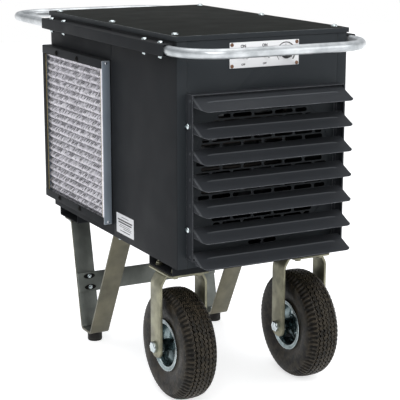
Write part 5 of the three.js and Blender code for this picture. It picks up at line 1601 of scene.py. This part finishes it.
# %% Rim bolts and valve
def hex_bolt(name, across, height, start, way, washer=0):
    """A hexagon head on a place, pointing along way, with chamfered corners."""
    index = max(range(3), key=lambda i: abs(way[i]))
    sign = 1 if way[index] > 0 else -1

    def stage(profile, sides):
        return turned(name, [(radius, sign * along) for radius, along in profile],
                      start, "xyz"[index], sides)

    base = washer * 0.18
    top = base + height
    pieces = []
    if washer:
        pieces.append(stage([(0, 0), (washer, 0), (washer, base), (0, base)], 28))
    head = stage([(0, base), (across, base), (across, base + height * 0.82),
                  (across * 0.86, top), (0, top)], 6)
    bevel(head, 0.00025, 1)
    return fuse(name, pieces + [head])


rim_bolts = fuse("rim_bolts", [
    hex_bolt("rim_bolt", 6.2, 4.5, round_hub(turn, way * DISC_HALF), (way, 0, 0), 7)
    for turn in (65, 155, 245, 335) for way in (-1, 1)])
STEM = [(0, -15), (2.6, -15), (2.6, -14.4), (3.9, -12), (3.9, -2), (2.7, 0), (2.7, 9),
        (3.4, 9.4), (3.4, 16), (2.6, 17), (0, 17)]
stem = turned("valve_stem", STEM, Vector((-8, 0, -43.5)) * MM, "x", 20)
for side, word in SIDES:
    home = Matrix.Translation(at(side * WHEEL_X, FRONT_CHANNEL_Y, WHEEL_Z))
    home = home @ Matrix.Rotation(math.radians(30 * side), 4, "X")
    for master, name, finish, stands in (
            (rim, f"{word}_rim_pressing", "rim_zinc", (f"{word}_rim",)),
            (rim_bolts, f"{word}_rim_bolts", "bright_zinc", ()),
            (stem, f"{word}_valve_stem", "black_plastic", ())):
        dress(copy_of(master, name, home), finish, f"{word}_wheel", *stands)
drop(rim, rim_bolts, stem)
print("rims on both wheels")

# %% Axle bolts
YOKE_FACE = YOKE_OUT + 3.3
SLEEVE_IN, SLEEVE_OUT = 47, 53.7
SHANK = [(0, -YOKE_FACE), (8, -YOKE_FACE), (8, 72.5), (7.2, 76.3), (0, 76.3)]
for side, word in SIDES:
    def spot(offset):
        return at(side * WHEEL_X + offset, FRONT_CHANNEL_Y, WHEEL_Z)

    parts = [turned("axle_shank", SHANK, spot(0), "x", 32),
             hex_bolt("axle_head", 13.5, 9.7, spot(-YOKE_FACE), (-1, 0, 0)),
             hex_bolt("axle_nut", 13.5, 11.7, spot(YOKE_FACE), (1, 0, 0))]
    for a, b in ((-SLEEVE_OUT, -SLEEVE_IN), (SLEEVE_IN, SLEEVE_OUT)):
        sleeve = [(8.05, a), (11, a), (11, b), (8.05, b), (8.05, a)]
        parts.append(turned("axle_sleeve", sleeve, spot(0), "x", 32))
    dress(fuse(f"{word}_axle_bolt_set", parts), "bright_zinc", "cabinet", f"{word}_axle_bolt")
print("axles fitted")

# %% [markdown]
# ## Fasteners
# Screws and bolts are each modelled once, standing on the origin with the head up, and
# copied to their places. A domed screw is turned on a lathe and its cross recess is cut
# with a Boolean. Fasteners of one kind in one area are one piece.

# %% Fastener helpers
def spread(name, master, places, finish, body="cabinet"):
    """Copies of a master at places of (point, direction), joined as one piece."""
    copies = []
    for point, way in places:
        turn = Vector(way).to_track_quat("Z", "Y").to_matrix().to_4x4()
        copies.append(copy_of(master, name, Matrix.Translation(point) @ turn))
    dress(fuse(name, copies), finish, body)


def cross_screw(name, radius, height):
    """A domed head with a cross recess."""
    dome = [(radius * out, height * up) for out, up in (
        (0, 0), (1, 0), (1, 0.15), (0.94, 0.45), (0.75, 0.76), (0.42, 0.95), (0, 1))]
    head = turned(name, dome, (0, 0, 0), "z", 28)
    slots = []
    for long, short in ((0.52, 0.11), (0.11, 0.52)):
        reach = Vector((long, short, 0)) * radius * MM
        slots.append(block("recess", -reach + Vector((0, 0, height * 0.5 * MM)),
                           reach + Vector((0, 0, height * 1.2 * MM))))
    cut_away(head, fuse("recess", slots), crossing=True)
    return head


def nut_on_end(across, height, washer, radius, reach, sides):
    """A nut with the bolt's end standing out of it."""
    return fuse("nut", [hex_bolt("nut", across, height, (0, 0, 0), UP, washer),
                        rod("end", radius, (0, 0, 0), (0, 0, reach), sides)])


UP, DOWN, LEFT, FORWARD, BACKWARD = (0, 0, 1), (0, 0, -1), (-1, 0, 0), (0, -1, 0), (0, 1, 0)

# %% Cover, rail and louvre screws
screw = cross_screw("screw", 7.6, 4.8)
nut = nut_on_end(6.4, 4.6, 6.8, 0.0027, 0.0075, 12)
spread("top_cover_screws", screw,
       [(at(x, y, LID_TOP), UP) for x in (-202.6, 202.6) for y in (-328, 0, 328)],
       "bright_zinc")
for side, word in SIDES:
    spots = [(side * RAIL_BOLT_X, y) for y in (-315, -235, 235, 315)]
    spread(f"{word}_rail_screws", screw,
           [(at(x, y, RAIL_HIGH + RAIL_SHEET / 2), UP) for x, y in spots], "bright_zinc")
    spread(f"{word}_rail_nuts", nut,
           [(at(x, y, RAIL_LOW - RAIL_SHEET / 2), DOWN) for x, y in spots], "bright_zinc")
    spread(f"{word}_louvre_frame_screws", screw,
           [(at(side * 193, -367.6, z), (side, 0, 0)) for z in (655, 426)], "bright_zinc")

# %% Small screws
small = cross_screw("small_screw", 4.2, 2.2)
spread("control_plate_screws", small,
       [(at(x, PLATE_FACE, z), FORWARD) for x in (-82, 82) for z in (776.5, 823)],
       "red_brass")
spread("rear_panel_screws", small,
       [(at(x, HALF_D, z), BACKWARD) for x in (-200, 0, 200) for z in (352, 830)]
       + [(at(x, HALF_D, 590), BACKWARD) for x in (-200, 200)], "bright_zinc")
black_screw = cross_screw("black_screw", 6.4, 4.0)
spread("filter_rail_screws", black_screw,
       [(at(-241.5, y, z), LEFT) for y in (128, 262) for z in (750, 375)], "black_oxide")
spread("base_pan_screws", black_screw,
       [(at(x, y, UNDERSIDE), DOWN) for x in (-75, 75) for y in (-346, 346)],
       "black_plastic")
RIVET = [(0, 0), (2.6, 0), (2.5, 0.5), (1.8, 1.0), (0.9, 1.2), (0, 1.2)]
rivet = turned("rivet", RIVET, (0, 0, 0), "z", 16)
spread("filter_frame_rivets", rivet,
       [(at(-228.9, FILTER_FRONT, z), FORWARD) for z in (371, 754)], "toggle_steel",
       "filter")
drop(screw, nut, small, black_screw, rivet)
print("screws placed")

# %% Bolts of the undercarriage
bolt = hex_bolt("bolt", 8.2, 5.4, (0, 0, 0), UP, 9.5)
stud = nut_on_end(8.2, 6.2, 9.5, 0.004, 0.011, 14)
for side, word in SIDES:
    corners = [(side * WHEEL_X + dx, FRONT_CHANNEL_Y + dy)
               for dx in (-30, 30) for dy in (-40, 40)]
    spread(f"{word}_caster_bolts", bolt, [(at(x, y, PLATE_LOW), DOWN) for x, y in corners],
           "zinc_plate")
    spread(f"{word}_caster_nuts", stud,
           [(at(x, y, CHANNEL_LOW + CHANNEL_BAR / 2), UP) for x, y in corners], "zinc_plate")
    tabs = [(at(side * LEG_X + dx, y, z - LEG_BAR / 2), DOWN)
            for y, z in ((-13, LEG_FRONT_HIGH), (307, LEG_REAR_HIGH)) for dx in (-14, 14)]
    foot_bolt = (at(side * LEG_X, FOOT_Y, LEG_LOW + LEG_BAR / 2), UP)
    spread(f"{word}_leg_bolts", bolt, tabs + [foot_bolt], "bright_zinc")

# %% Cross bar bolts, on black plates that paint the shade of their slots
SLOT_SHADE_PLATE_THICK = 0.0014
(foot_y, foot_z), (top_y, top_z) = LEG_BENDS[3:5]
tilt = math.atan2(top_y - foot_y, top_z - foot_z)
face_way = Vector((0, -math.cos(tilt), math.sin(tilt)))
up_way = Vector((0, math.sin(tilt), math.cos(tilt)))
bar_middle = at(0, 244.5, 145.4) + face_way * 3.2 * MM
holes = [bar_middle + up_way * rise * MM + Vector((side * 171 * MM, 0, 0))
         for side in (-1, 1) for rise in (-14.5, 14.5)]
# Each bolt sits on a thin black obround plate: painted shade that stands for the dark of a slot
# in the bar, which is not cut.
washer = rod("washer", 0.0068, (0, 0, 0), (0, 0, SLOT_SHADE_PLATE_THICK), 28)
for vert in washer.data.vertices:
    vert.co.x *= 2.35
bevel(washer, 0.0003)
lean = Matrix.Rotation(math.pi / 2 - tilt, 4, "X")
slot_shade_plates = [copy_of(washer, "washer", Matrix.Translation(hole) @ lean) for hole in holes]
dress(fuse("cross_bar_slot_shade_plates", slot_shade_plates), "black_oxide", "cabinet")
raised_bolt = copy_of(bolt, "raised_bolt",
                      Matrix.Translation((0, 0, SLOT_SHADE_PLATE_THICK)) @ Matrix.Scale(0.55, 4))
spread("cross_bar_bolts", raised_bolt, [(hole, face_way) for hole in holes], "bright_zinc")
drop(washer, raised_bolt, bolt, stud)
print("bolts placed")

# %% [markdown]
# ## Side label
# The label on the left side is a thin white plate. It carries no words: plain ruled
# lines, like an empty form, take the place of the print.

# %% Side label
LABEL_FRONT, LABEL_BACK, LABEL_LOW, LABEL_HIGH = -137, -40, 352, 400
LABEL_LONG = LABEL_BACK - LABEL_FRONT
LABEL_FACE = -HALF_W - 0.45
RULES = [(393.0, 1.2, 0.30, 0.70), (385.5, 3.4, 0.08, 0.92), (379.5, 3.4, 0.12, 0.88),
         (373.6, 1.3, 0.20, 0.80), (369.6, 1.3, 0.14, 0.84), (365.6, 1.3, 0.14, 0.60),
         (359.6, 1.8, 0.22, 0.78)]
label = block("side_label", at(LABEL_FACE, LABEL_FRONT, LABEL_LOW),
              at(-HALF_W, LABEL_BACK, LABEL_HIGH))
round_off(label, "edges", lambda edge: runs(edge, 0), 0.002, 4)
bevel(label, 0.0001, 1)
dress(label, "label_white", "cabinet")
rules = []
for z, thick, start, end in RULES:
    rule = block("rule", at(LABEL_FACE - 0.07, LABEL_FRONT + start * LABEL_LONG, z - thick / 2),
                 at(LABEL_FACE + 0.01, LABEL_FRONT + end * LABEL_LONG, z + thick / 2))
    bevel(rule, 0.00002, 1)
    rules.append(rule)
dress(fuse("side_label_rules", rules), "ink", "cabinet")
print("label with", len(RULES), "rules")
